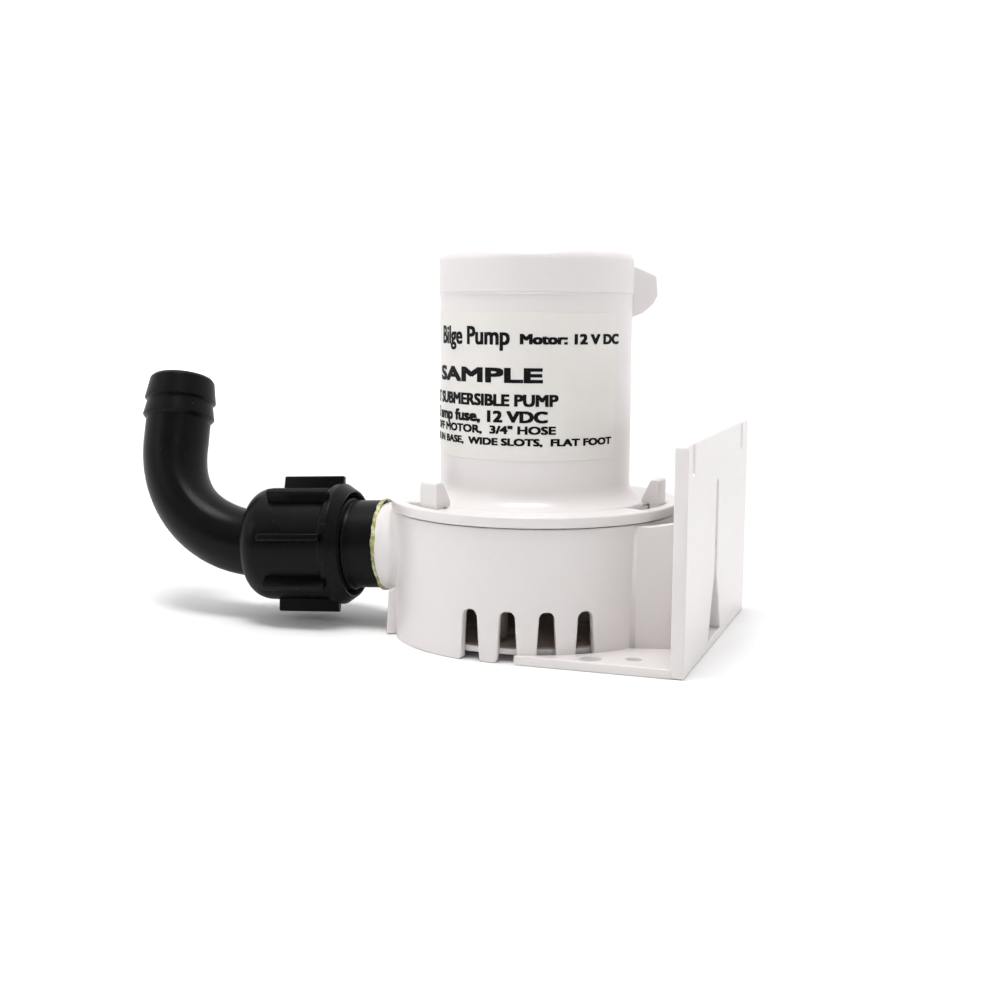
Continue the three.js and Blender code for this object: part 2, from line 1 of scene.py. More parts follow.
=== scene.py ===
"""Looks of a cartridge bilge pump: slotted base, twist-off motor head, union nut and hose elbow.

Sizes are in millimetres and become metres when a mesh is made. +Z runs up the pump axis, the wall
bracket is on +X and the discharge leaves towards -X.
"""

import json
import logging
import math
from dataclasses import dataclass, field
from enum import Enum
from typing import ClassVar, Sequence, Union

import bmesh
import bpy
import numpy as np
from mathutils import Matrix, Vector
from mathutils.geometry import tessellate_polygon

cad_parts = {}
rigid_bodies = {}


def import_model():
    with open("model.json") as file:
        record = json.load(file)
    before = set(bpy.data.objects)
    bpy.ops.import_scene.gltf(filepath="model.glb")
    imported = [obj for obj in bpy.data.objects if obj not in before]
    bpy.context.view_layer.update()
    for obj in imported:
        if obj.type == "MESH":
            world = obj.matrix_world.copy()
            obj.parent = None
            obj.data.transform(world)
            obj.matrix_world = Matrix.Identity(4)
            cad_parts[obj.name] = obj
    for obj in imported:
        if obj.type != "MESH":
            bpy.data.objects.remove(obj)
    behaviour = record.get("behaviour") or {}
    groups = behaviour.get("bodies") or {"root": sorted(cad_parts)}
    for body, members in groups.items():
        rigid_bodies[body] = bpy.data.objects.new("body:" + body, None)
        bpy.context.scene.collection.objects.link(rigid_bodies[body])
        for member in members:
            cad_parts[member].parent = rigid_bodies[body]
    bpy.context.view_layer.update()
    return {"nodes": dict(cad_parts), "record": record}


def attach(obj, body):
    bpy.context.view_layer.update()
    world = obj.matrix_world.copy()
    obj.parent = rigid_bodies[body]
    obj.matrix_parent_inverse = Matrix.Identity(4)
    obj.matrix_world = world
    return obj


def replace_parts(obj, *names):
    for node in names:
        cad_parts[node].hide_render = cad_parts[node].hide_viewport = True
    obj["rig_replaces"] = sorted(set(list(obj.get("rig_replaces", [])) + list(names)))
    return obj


LOG = logging.getLogger("bilge_pump")
MM = 0.001
SEGMENTS = 168
FLAT_RIM = 0.05  # width of the flat strip inside a rounded edge
MERGE_M = 2e-6
SLIVER_M = 1e-7
HOOK_AZIMUTHS = (-122.5, -2.5, 117.5)
Array = np.ndarray
Number = Union[float, "Value"]


class Slot(Enum):
    """The record's material slots."""

    HOUSING = "white_housing"
    HEAD = "white_head"
    FITTING = "black_fitting"
    IMPELLER = "black_impeller"
    GLUE = "glue"
    SEAL = "seal_rubber"
    LABEL = "label_film"
    ZINC = "zinc_steel"
    CORE = "core_steel"
    BRIGHT = "bright_steel"
    FERRITE = "ferrite"
    BOARD = "phenolic"
    BRONZE = "sintered_bronze"
    CARBON = "carbon"
    WIRE = "enamelled_copper"
    COPPER = "copper"


# ---- outlines and profiles -------------------------------------------------------------------


def rounded(corners: Sequence, radius: Union[float, Sequence[float]], steps: int = 5) -> Array:
    """Rounds every corner of a closed outline.

    Each corner becomes an arc that touches its two sides, reached at radius / tan(half the corner's
    angle) from the corner, with one more point just before and just after it to keep the sides flat.

    Args:
        corners: corner points, two numbers each.
        radius: one radius, or one for each corner.
        steps: pieces of each arc.

    Returns:
        The points of the rounded outline, as rows of two.
    """
    points = np.asarray(corners, float)
    radii = np.broadcast_to(np.asarray(radius, float), (len(points),))
    to_last, to_next = np.roll(points, 1, 0) - points, np.roll(points, -1, 0) - points
    size_last = np.linalg.norm(to_last, axis=1)
    size_next = np.linalg.norm(to_next, axis=1)
    unit_last, unit_next = to_last / size_last[:, None], to_next / size_next[:, None]
    half = np.arccos(np.clip((unit_last * unit_next).sum(1), -1, 0.99999)) / 2
    reach = np.minimum(radii / np.tan(half), 0.45 * np.minimum(size_last, size_next))
    sweep = np.maximum(math.pi - 2 * half, 1e-5)
    middle = unit_last + unit_next
    middle /= np.maximum(np.linalg.norm(middle, axis=1), 1e-9)[:, None]
    centre = points + middle * (reach / np.cos(half))[:, None]
    start = points + unit_last * reach[:, None] - centre
    end = points + unit_next * reach[:, None] - centre
    share = np.linspace(0, 1, steps + 1)[None, :, None]
    turn = sweep[:, None, None]
    arc = np.sin((1 - share) * turn) * start[:, None] + np.sin(share * turn) * end[:, None]
    arc = arc / np.sin(turn)
    lead = np.minimum(0.05, 0.04 * np.minimum(size_last, size_next))[:, None]
    before = (centre + start + unit_last * lead)[:, None]
    after = (centre + end + unit_next * lead)[:, None]
    return np.concatenate([before, centre[:, None] + arc, after], axis=1).reshape(-1, 2)


def full_turn(count: int = SEGMENTS) -> Array:
    """Evenly spaced angles of one full turn."""
    return np.linspace(0, 2 * math.pi, count, endpoint=False)


def polar(radius: Union[float, Array], angle: Array, *height: Array) -> Array:
    """Points (r cos a, r sin a), with a height as third number where one is given."""
    parts = np.broadcast_arrays(radius * np.cos(angle), radius * np.sin(angle), *height)
    return np.stack(parts, -1)


def circle(radius: float, centre: Sequence[float] = (0, 0), points: int = SEGMENTS,
           hole: bool = False) -> Array:
    """A round outline, anticlockwise, or clockwise for a hole."""
    return np.asarray(centre) + polar(radius, full_turn(points) * (-1 if hole else 1))


def inset(outline: Array, distance: float) -> Array:
    """Moves a closed outline to its left, along the mitre of its two sides at each point.

    Args:
        outline: the points, as rows of two.
        distance: how far each side moves.

    Returns:
        The moved points, in the same order.
    """
    side = np.roll(outline, -1, 0) - outline
    side /= np.maximum(np.linalg.norm(side, axis=1), 1e-9)[:, None]
    left = np.stack([-side[:, 1], side[:, 0]], -1)
    last = np.roll(left, 1, 0)
    mitre = (left + last) / np.maximum(1 + (left * last).sum(1), 0.3)[:, None]
    return outline + mitre * distance


# ---- places -----------------------------------------------------------------------------------


def moved(points: Array, matrix: Array) -> Array:
    """Puts points through a 4 x 4 matrix."""
    return points @ matrix[:3, :3].T + matrix[:3, 3]


def frame_of(x_axis: Sequence, y_axis: Sequence, z_axis: Sequence,
             origin: Sequence = (0, 0, 0)) -> Array:
    """The matrix whose columns are three axes and an origin."""
    matrix = np.eye(4)
    matrix[:3, 0], matrix[:3, 1], matrix[:3, 2], matrix[:3, 3] = x_axis, y_axis, z_axis, origin
    return matrix


def turned_about_z(degrees: float) -> Array:
    """The matrix that turns about Z."""
    c, s = math.cos(math.radians(degrees)), math.sin(math.radians(degrees))
    return frame_of((c, s, 0), (-s, c, 0), (0, 0, 1))


FLAT = np.eye(4)
UPRIGHT = frame_of((1, 0, 0), (0, 0, 1), (0, -1, 0))  # drawn in X and Z, thick along Y
SIDEWAYS = frame_of((0, 1, 0), (0, 0, 1), (1, 0, 0))  # drawn in Y and Z, thick along X
MIRRORED = np.diag([1.0, -1.0, 1.0, 1.0])


# ---- meshes -----------------------------------------------------------------------------------


class Form:
    """Gathers surfaces in millimetres and makes them one mesh object."""

    def __init__(self) -> None:
        """Starts with no surface."""
        self.points: list[Array] = []
        self.faces: list[Sequence[int]] = []
        self.count = 0

    def add(self, points: Array, faces: Sequence[Sequence[int]] = ()) -> int:
        """Adds points, and faces that number those points from 0.

        Args:
            points: the points, in any arrangement of threes.
            faces: the faces' corners.

        Returns:
            The number that the first point has in this form.
        """
        first = self.count
        self.points.append(points.reshape(-1, 3))
        self.count += len(self.points[-1])
        self.faces += [[first + n for n in face] for face in faces]
        return first

    def grid(self, points: Array, wrap_u: bool = False, wrap_v: bool = False,
             capped: bool = False) -> "Form":
        """Adds a surface given as rows and columns of points.

        Args:
            points: array of rows x columns x 3.
            wrap_u: joins the last row to the first.
            wrap_v: joins the last column to the first.
            capped: closes the first and the last row with a flat face each.

        Returns:
            This form.
        """
        rows, columns = points.shape[:2]
        number = self.add(points) + np.arange(rows * columns).reshape(rows, columns)
        u = np.arange(rows if wrap_u else rows - 1)[:, None]
        v = np.arange(columns if wrap_v else columns - 1)[None, :]
        u_next, v_next = (u + 1) % rows, (v + 1) % columns
        corners_of_quads = number[u, v], number[u_next, v], number[u_next, v_next], number[u, v_next]
        self.faces += np.stack(corners_of_quads, -1).reshape(-1, 4).tolist()
        if capped:
            self.faces += [number[0].tolist(), number[-1][::-1].tolist()]
        return self

    def lathe(self, profile: Array, matrix: Array = FLAT, segments: int = SEGMENTS) -> "Form":
        """Adds a closed profile of radius and height, turned about Z."""
        turned = polar(profile[None, :, 0], full_turn(segments)[:, None], profile[None, :, 1])
        return self.grid(moved(turned, matrix), wrap_u=True, wrap_v=True)

    def slab(self, outlines: Sequence[Array], low: float, high: float, edge: float = 0.4,
             matrix: Array = FLAT, steps: int = 4) -> "Form":
        """Adds a flat plate with rounded edges and any holes.

        The side of each outline is its inset by e (1 - sin a) at a height e (1 - cos a) from the face,
        and flat faces fill what is left inside the outlines.

        Args:
            outlines: the outer outline, anticlockwise, then the holes, clockwise.
            low: height of the lower face.
            high: height of the upper face.
            edge: radius of the rounded edges.
            matrix: place of the drawing plane.
            steps: pieces of each rounded edge.

        Returns:
            This form.
        """
        ins, ups = np.zeros(2), np.array([low, high])
        if edge:
            angle = np.linspace(0, math.pi / 2, steps + 1)
            bend_in, bend_up = edge * (1 - np.sin(angle)), edge * (1 - np.cos(angle))
            flat = edge + FLAT_RIM
            ins = np.concatenate([[flat], bend_in, bend_in[::-1], [flat]])
            ups = np.concatenate([[low], low + bend_up, high - bend_up[::-1], [high]])
        lower, upper = [], []
        for outline in outlines:
            rings = np.stack([np.column_stack([inset(outline, i), np.full(len(outline), h)])
                              for i, h in zip(ins, ups)], 1)
            first = self.count
            self.grid(moved(rings, matrix), wrap_u=True)
            number = first + np.arange(rings.shape[0] * rings.shape[1]).reshape(rings.shape[:2])
            lower.append((rings[:, 0], number[:, 0]))
            upper.append((rings[:, -1], number[:, -1]))
        for side in (lower, upper):
            flat_points = [[Vector((p[0], p[1], 0)) for p in loop] for loop, _ in side]
            numbers = np.concatenate([n for _, n in side])
            self.faces += [numbers[list(t)].tolist() for t in tessellate_polygon(flat_points)]
        return self

    def mesh(self, name: str) -> bpy.types.Object:
        """Makes the object: doubles merged, every closed shell facing outwards, smooth.

        Args:
            name: name of the object and its mesh.

        Returns:
            The object, linked to the scene.
        """
        data = bpy.data.meshes.new(name)
        data.from_pydata((np.concatenate(self.points) * MM).tolist(), [], self.faces)
        work = bmesh.new()
        work.from_mesh(data)
        bmesh.ops.remove_doubles(work, verts=work.verts, dist=MERGE_M)
        bmesh.ops.dissolve_degenerate(work, edges=work.edges, dist=SLIVER_M)
        bmesh.ops.recalc_face_normals(work, faces=work.faces)
        work.to_mesh(data)
        work.free()
        data.polygons.foreach_set("use_smooth", np.ones(len(data.polygons), bool))
        made = bpy.data.objects.new(name, data)
        bpy.context.collection.objects.link(made)
        return made


# ---- shader maths -----------------------------------------------------------------------------


class Value:
    """One socket of a node tree, with arithmetic that adds Math nodes."""

    def __init__(self, tree: "Nodes", socket: bpy.types.NodeSocket) -> None:
        """Wraps a socket of a tree."""
        self.tree, self.socket = tree, socket

    def _math(self, operation: str, *values: Number) -> "Value":
        """Adds a Math node."""
        return self.tree.node("ShaderNodeMath", dict(enumerate(values)), operation=operation)

    def __add__(self, other: Number) -> "Value":
        """Sum."""
        return self._math("ADD", self, other)

    def __radd__(self, other: Number) -> "Value":
        """Sum with a number on the left."""
        return self._math("ADD", other, self)

    def __sub__(self, other: Number) -> "Value":
        """Difference."""
        return self._math("SUBTRACT", self, other)

    def __rsub__(self, other: Number) -> "Value":
        """Difference from a number on the left."""
        return self._math("SUBTRACT", other, self)

    def __mul__(self, other: Number) -> "Value":
        """Product."""
        return self._math("MULTIPLY", self, other)

    def __rmul__(self, other: Number) -> "Value":
        """Product with a number on the left."""
        return self._math("MULTIPLY", other, self)

    def __pow__(self, other: Number) -> "Value":
        """Power."""
        return self._math("POWER", self, other)

    def step(self, low: float, high: float) -> "Value":
        """Rises smoothly from 0 at low to 1 at high."""
        limits = {"Value": self, "From Min": low, "From Max": high}
        return self.tree.node("ShaderNodeMapRange", limits, interpolation_type="SMOOTHSTEP")


class Nodes:
    """A node tree that is filled one node at a time."""

    def __init__(self, tree: bpy.types.NodeTree) -> None:
        """Takes a tree and empties it."""
        self.tree = tree
        self.tree.nodes.clear()

    def node(self, kind: str, inputs: dict, output: Union[int, str] = 0, **settings: object) -> Value:
        """Adds any node.

        Args:
            kind: the node's type.
            inputs: value or link of each socket, by its number, name or identifier.
            output: number or identifier of the socket to return.
            **settings: the node's own settings, set before its sockets.

        Returns:
            The output, as a value.
        """
        made = self.tree.nodes.new(kind)
        for key, setting in settings.items():
            setattr(made, key, setting)
        for key, value in inputs.items():
            found = [s for s in made.inputs if key in (s.identifier, s.name)]
            socket = made.inputs[key] if isinstance(key, int) else found[0]
            if isinstance(value, Value):
                self.tree.links.new(value.socket, socket)
            else:
                socket.default_value = value
        outputs = {s.identifier: s for s in made.outputs}
        return Value(self, made.outputs[output] if isinstance(output, int) else outputs[output])

    def end(self, kind: str, surface: Value) -> None:
        """Adds an output node and links the finished surface to it."""
        made = self.tree.nodes.new(kind)
        self.tree.links.new(surface.socket, made.inputs["Surface"])


class Shader(Nodes):
    """A material's node tree."""

    def __init__(self, name: str) -> None:
        """Makes a material with an empty tree."""
        self.material = bpy.data.materials.new(name)
        self.material.use_nodes = True
        super().__init__(self.material.node_tree)

    def place(self) -> Value:
        """The point on the object, in metres."""
        return self.node("ShaderNodeTexCoord", {}, output="Object")

    def stretched(self, scale: Sequence[float], turn: Sequence[float] = (0, 0, 0)) -> Value:
        """The point on the object, turned and stretched."""
        inputs = {"Vector": self.place(), "Scale": scale, "Rotation": turn}
        return self.node("ShaderNodeMapping", inputs)

    def parts(self) -> tuple[Value, Value, Value]:
        """The point's three coordinates."""
        point = {"Vector": self.place()}
        return tuple(self.node("ShaderNodeSeparateXYZ", point, output=axis) for axis in "XYZ")

    def noise(self, scale: float, detail: float = 3, rough: float = 0.5, at: Value = None,
              kink: float = 0) -> Value:
        """Noise from 0 to 1.

        Args:
            scale: bumps in a metre.
            detail: octaves of finer bumps.
            rough: share that each octave keeps.
            at: where it is looked up, or None for the point on the object.
            kink: how far it is bent by itself.

        Returns:
            The noise.
        """
        inputs = {"Vector": at or self.place(), "Scale": scale, "Detail": detail}
        inputs |= {"Roughness": rough, "Distortion": kink}
        return self.node("ShaderNodeTexNoise", inputs)

    def cells(self, scale: float, at: Value = None) -> Value:
        """Distance to the nearest of scattered points."""
        return self.node("ShaderNodeTexVoronoi", {"Vector": at or self.place(), "Scale": scale})

    def blend(self, factor: Number, first: object, second: object) -> Value:
        """Colour between two colours."""
        inputs = {"Factor_Float": factor, "A_Color": first, "B_Color": second}
        return self.node("ShaderNodeMix", inputs, output="Result_Color", data_type="RGBA")

    def bump(self, height: Value, strength: float, depth_mm: float) -> Value:
        """A normal from a height."""
        inputs = {"Height": height, "Strength": strength, "Distance": depth_mm * MM}
        return self.node("ShaderNodeBump", inputs)

    def surface(self, inputs: dict) -> bpy.types.Material:
        """Ends the tree in a Principled surface and returns the material."""
        self.end("ShaderNodeOutputMaterial", self.node("ShaderNodeBsdfPrincipled", inputs))
        return self.material


def rgb(red: float, green: float, blue: float) -> tuple[float, float, float, float]:
    """A colour with full alpha."""
    return (red, green, blue, 1.0)


# ---- finishes ---------------------------------------------------------------------------------


@dataclass(frozen=True)
class WhitePlastic:
    """Glossy injection-moulded plastic, slightly warm, with painted shade inside the strainer."""

    name: str
    light: tuple = rgb(0.800, 0.766, 0.758)
    warm: tuple = rgb(0.776, 0.738, 0.728)
    # Painted shade inside the strainer: its dark brown-grey, whether it is laid on, and the radii and
    # heights where it fades.
    painted_shade_colour: tuple = rgb(0.520, 0.425, 0.372)
    dust_and_shade: bool = False
    shade_edge: tuple = (0.0359, 0.0376)
    shade_top: tuple = (0.0132, 0.0145)
    disc_side: tuple = (0.0026, 0.0034)
    disc_top: tuple = (0.0034, 0.0042)

    def material(self) -> bpy.types.Material:
        """Makes the finish: cloudy colour, moulding flow in the gloss, a fine orange peel and dust."""
        s = Shader(self.name)
        clouds = s.noise(26, 4, 0.55)
        flow = s.noise(30, 3, 0.5, s.stretched((1, 1, 0.3)))
        dust = s.noise(1500, 2, 0.5).step(0.715, 0.76) * s.noise(55, 2).step(0.45, 0.62)
        colour = s.blend(clouds.step(0.3, 0.72) * 0.8, self.light, self.warm)
        colour = s.blend(dust * 0.32, colour, rgb(0.30, 0.26, 0.22))
        # The dust specks matt the gloss; where the painted shade is laid on, it takes their place in
        # this mask.
        dust_and_shade = dust
        if self.dust_and_shade:
            # Painted shade: inside the wall and below the chamber floor the colour turns dark
            # brown-grey and matt, weaker below the top of the strainer disc.
            x, y, z = s.parts()
            reach = (x * x + y * y) ** 0.5 + 2.6 * MM * (1 - z.step(*self.disc_top))
            inside = 1 - reach.step(*self.shade_edge)
            low = 1 - z.step(*self.shade_top)
            patchy = 0.84 + 0.2 * s.noise(160, 3)
            dust_and_shade = inside * low * patchy * (0.25 + 0.75 * z.step(*self.disc_side))
            colour = s.blend(dust_and_shade, colour, self.painted_shade_colour)
        peel = s.noise(620, 3, 0.5) * 0.5 + s.noise(170, 2, 0.4)
        scuff = s.noise(900, 2, 0.5, s.stretched((1, 1, 0.06), (0.3, 0.5, 0.2))).step(0.66, 0.74)
        gloss = 0.27 + 0.07 * flow + 0.04 * scuff + 0.5 * dust_and_shade
        return s.surface({
            "Base Color": colour, "Roughness": gloss, "IOR": 1.51,
            "Coat Weight": 0.12 - 0.12 * dust_and_shade, "Coat Roughness": 0.12,
            "Normal": s.bump(peel, 0.14, 0.03), "Subsurface Weight": 0.06,
            "Subsurface Radius": (1.0, 0.7, 0.6), "Subsurface Scale": 0.6 * MM,
        })


@dataclass(frozen=True)
class BlackPlastic:
    """Satin moulded nylon: near black, with dusty grazes and a fine grain."""

    name: str
    base: tuple = rgb(0.0022, 0.0023, 0.0027)
    worn: tuple = rgb(0.0042, 0.0042, 0.0048)
    rough: float = 0.27
    specular: float = 0.12

    def material(self) -> bpy.types.Material:
        """Makes the finish: cloudy black, drawn scratches, pale flecks and a fine grain."""
        s = Shader(self.name)
        clouds = s.noise(48, 4, 0.6)
        scratch = s.noise(700, 3, 0.55, s.stretched((0.08, 1, 1), (0.1, 0.2, 0.35))).step(0.63, 0.72)
        fleck = s.noise(1300, 2, 0.5).step(0.73, 0.77)
        colour = s.blend(clouds.step(0.35, 0.75) * 0.6, self.base, self.worn)
        colour = s.blend(scratch * 0.18, colour, rgb(0.03, 0.03, 0.033))
        colour = s.blend(fleck * 0.5, colour, rgb(0.10, 0.097, 0.094))
        grain = s.noise(1100, 3, 0.6) + 0.8 * s.noise(240, 2, 0.5)
        gloss = self.rough + 0.14 * clouds.step(0.3, 0.7) + 0.12 * scratch + 0.2 * fleck
        return s.surface({
            "Base Color": colour, "Roughness": gloss, "IOR": 1.5,
            "Specular IOR Level": self.specular, "Normal": s.bump(grain - 0.5 * scratch, 0.22, 0.06),
        })


@dataclass(frozen=True)
class Cement:
    """Squeezed-out solvent cement: yellow-green, lumpy and glossy."""

    name: str

    def material(self) -> bpy.types.Material:
        """Makes the finish: pale cement with random olive patches of painted shade, over fine lumps."""
        s = Shader(self.name)
        olive_shade_patch = s.noise(420, 4, 0.6)
        # The olive is the colour of shade on the bead, painted in random patches, which are rougher.
        colour = s.blend(olive_shade_patch.step(0.35, 0.62), rgb(0.70, 0.69, 0.45), rgb(0.27, 0.28, 0.07))
        colour = s.blend(s.noise(1100, 2).step(0.6, 0.75) * 0.6, colour, rgb(0.74, 0.74, 0.58))
        lumps = s.noise(900, 4, 0.6) + s.noise(260, 2)
        return s.surface({
            "Base Color": colour, "Roughness": 0.26 + 0.2 * olive_shade_patch,
            "Normal": s.bump(lumps, 0.6, 0.25), "Subsurface Weight": 0.15,
            "Subsurface Scale": 0.8 * MM,
        })


@dataclass(frozen=True)
class Film:
    """Label film: a thin clear coat over cream vinyl with a soft weave of print dots."""

    name: str

    def material(self) -> bpy.types.Material:
        """Makes the finish: mottled cream, faint creases and a satin sheen."""
        s = Shader(self.name)
        mottle = s.noise(90, 4, 0.55)
        dots = s.cells(2600).step(0.2, 0.55)
        colour = s.blend(mottle.step(0.3, 0.7), rgb(0.825, 0.798, 0.768), rgb(0.800, 0.775, 0.742))
        colour = s.blend((1 - dots) * 0.10, colour, rgb(0.66, 0.64, 0.62))
        crease = s.noise(60, 3, 0.5, s.stretched((1, 1, 0.35)), 1.2)
        return s.surface({
            "Base Color": colour, "Roughness": 0.36 + 0.1 * mottle,
            "Coat Weight": 0.1, "Coat Roughness": 0.2,
            "Normal": s.bump(crease + 0.1 * s.noise(900), 0.12, 0.12),
        })


@dataclass(frozen=True)
class Ink:
    """Screen-printed black ink with pinholes and thin edges."""

    name: str

    def material(self) -> bpy.types.Material:
        """Makes the finish: black with pinholes that show the film."""
        s = Shader(self.name)
        holes = s.noise(2400, 2, 0.6).step(0.66, 0.75)
        colour = s.blend(holes * 0.6, rgb(0.003, 0.003, 0.0035), rgb(0.22, 0.21, 0.20))
        return s.surface({
            "Base Color": colour, "Roughness": 0.42 + 0.2 * s.noise(500),
            "Specular IOR Level": 0.12, "Normal": s.bump(s.noise(1800), 0.15, 0.03),
        })


@dataclass(frozen=True)
class Rubber:
    """Moulded nitrile: dark, matt and slightly dusty."""

    name: str

    def material(self) -> bpy.types.Material:
        """Makes the finish: bloom patches over a fine grain."""
        s = Shader(self.name)
        bloom = s.noise(180, 4, 0.6).step(0.45, 0.75)
        colour = s.blend(bloom * 0.5, rgb(0.013, 0.013, 0.014), rgb(0.045, 0.044, 0.042))
        return s.surface({
            "Base Color": colour, "Roughness": 0.62 + 0.2 * bloom,
            "Normal": s.bump(s.noise(1600, 4), 0.3, 0.05),
        })


class Grain(Enum):
    """How a metal's surface runs."""

    DRAWN = (1.0, 1.0, 0.04)
    TURNED = (0.05, 0.05, 1.0)
    CAST = (1.0, 1.0, 1.0)


@dataclass(frozen=True)
class Metal:
    """A metal with worn patches and a grain."""

    name: str
    base: tuple
    dull: tuple
    rough: float
    grain: Grain = Grain.CAST
    lines: float = 900

    def material(self) -> bpy.types.Material:
        """Makes the finish: dull patches, and grain lines in the gloss and the surface."""
        s = Shader(self.name)
        patch = s.noise(120, 5, 0.6).step(0.35, 0.7)
        line = s.noise(self.lines, 3, 0.6, s.stretched(self.grain.value))
        colour = s.blend(patch * 0.7, self.base, self.dull)
        return s.surface({
            "Base Color": colour, "Metallic": 1.0,
            "Roughness": self.rough + 0.14 * patch + 0.10 * line, "Normal": s.bump(line, 0.25, 0.03),
        })


@dataclass(frozen=True)
class Winding:
    """Enamelled wire laid turn by turn."""

    name: str

    def material(self) -> bpy.types.Material:
        """Makes the finish: rounded ridges across the axis, with varnish pools."""
        s = Shader(self.name)
        turns = {"Vector": s.place(), "Scale": 950.0, "Distortion": 1.2, "Detail": 1.0}
        ridge = s.node("ShaderNodeTexWave", turns, output="Fac", bands_direction="Z")
        pool = s.noise(300, 3).step(0.5, 0.75)
        # The colour follows the ridges and is darker in the grooves between turns: painted shade.
        colour = s.blend(ridge, rgb(0.16, 0.04, 0.015), rgb(0.52, 0.17, 0.06))
        colour = s.blend(pool * 0.5, colour, rgb(0.20, 0.05, 0.02))
        return s.surface({
            "Base Color": colour, "Metallic": 0.6, "Roughness": 0.3 + 0.2 * pool,
            "Normal": s.bump(ridge, 0.8, 0.15), "Coat Weight": 0.3,
        })


@dataclass(frozen=True)
class Matt:
    """Pressed board, ferrite or carbon: a granular matt solid."""

    name: str
    base: tuple
    fleck: tuple
    rough: float = 0.75

    def material(self) -> bpy.types.Material:
        """Makes the finish: grains of two tones over a rough skin."""
        s = Shader(self.name)
        grains = s.cells(1400).step(0.15, 0.6)
        colour = s.blend(grains * s.noise(200, 4).step(0.35, 0.7), self.base, self.fleck)
        return s.surface({
            "Base Color": colour, "Roughness": self.rough + 0.12 * grains,
            "Normal": s.bump(s.noise(1500, 4), 0.35, 0.06),
        })


FINISHES = {
    # The housing's finish carries the painted shade inside the strainer.
    Slot.HOUSING: WhitePlastic("white_housing_finish", dust_and_shade=True),
    Slot.HEAD: WhitePlastic("white_head_finish"),
    Slot.FITTING: BlackPlastic("black_fitting_finish"),
    Slot.IMPELLER: BlackPlastic("black_impeller_finish", rough=0.5),
    Slot.GLUE: Cement("cement_finish"),
    Slot.SEAL: Rubber("seal_rubber_finish"),
    Slot.LABEL: Film("label_film_finish"),
    Slot.ZINC: Metal("zinc_steel_finish", rgb(0.52, 0.53, 0.56), rgb(0.36, 0.38, 0.42), 0.32,
                     Grain.DRAWN),
    Slot.CORE: Metal("lamination_finish", rgb(0.34, 0.35, 0.37), rgb(0.14, 0.12, 0.11), 0.42,
                     Grain.TURNED, 2200),
    Slot.BRIGHT: Metal("ground_steel_finish", rgb(0.68, 0.69, 0.70), rgb(0.55, 0.56, 0.58), 0.16,
                       Grain.TURNED),
    Slot.FERRITE: Matt("ferrite_finish", rgb(0.030, 0.030, 0.034), rgb(0.075, 0.075, 0.08), 0.55),
    Slot.BOARD: Matt("pressed_board_finish", rgb(0.13, 0.068, 0.032), rgb(0.24, 0.14, 0.07)),
    Slot.BRONZE: Metal("sintered_bronze_finish", rgb(0.48, 0.33, 0.16), rgb(0.25, 0.17, 0.08), 0.48),
    Slot.CARBON: Matt("carbon_finish", rgb(0.018, 0.018, 0.019), rgb(0.06, 0.06, 0.06), 0.6),
    Slot.WIRE: Winding("enamelled_wire_finish"),
    Slot.COPPER: Metal("turned_copper_finish", rgb(0.72, 0.36, 0.20), rgb(0.42, 0.20, 0.12), 0.24,
                       Grain.TURNED),
}


class Workshop:
    """Dresses pieces, fixes them to their body and keeps each finish once."""

    def __init__(self) -> None:
        """Makes every finish."""
        self.made = {slot: finish.material() for slot, finish in FINISHES.items()}
        self.ink = Ink("label_ink").material()

    def fit(self, piece: bpy.types.Object, body: str, slot: Slot,
            stands_for: Sequence[str] = ()) -> bpy.types.Object:
        """Gives a piece its finish and its body.

        Args:
            piece: the new object.
            body: name of the CAD body it rides on.
            slot: its material slot.
            stands_for: CAD nodes that it replaces.

        Returns:
            The piece.
        """
        piece.data.materials.clear()
        piece.data.materials.append(self.made[slot])
        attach(piece, body)
        if stands_for:
            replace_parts(piece, *stands_for)
        LOG.info("%s rides on %s, %d faces", piece.name, body, len(piece.data.polygons))
        return piece

    def dress_nodes(self, nodes: dict, replaced: set[str], subparts: Sequence[dict]) -> None:
        """Gives each CAD node that still shows the finish of its slot.

        Args:
            nodes: the CAD objects by name.
            replaced: names of the nodes that new pieces stand for.
            subparts: the record's rows, each with a node and its material slot.
        """
        for part in subparts:
            name = part["node"]
            if name in replaced:
                continue
            for place in nodes[name].material_slots:
                place.material = self.made[Slot(part["material_slot"])]
            LOG.info("%s keeps its CAD shape", name)


class OnePiece:
    """A part of the pump that is one new piece in place of one CAD node."""

    ticket: ClassVar[tuple[str, str, Slot, str]]  # name, body, slot and the node it replaces

    def form(self) -> Form:
        """The shape, which each part gives."""
        raise NotImplementedError

    def build(self, shop: Workshop) -> None:
        """Makes and dresses the piece."""
        name, body, slot, node = self.ticket
        shop.fit(self.form().mesh(name), body, slot, (node,))


# ---- base -------------------------------------------------------------------------------------


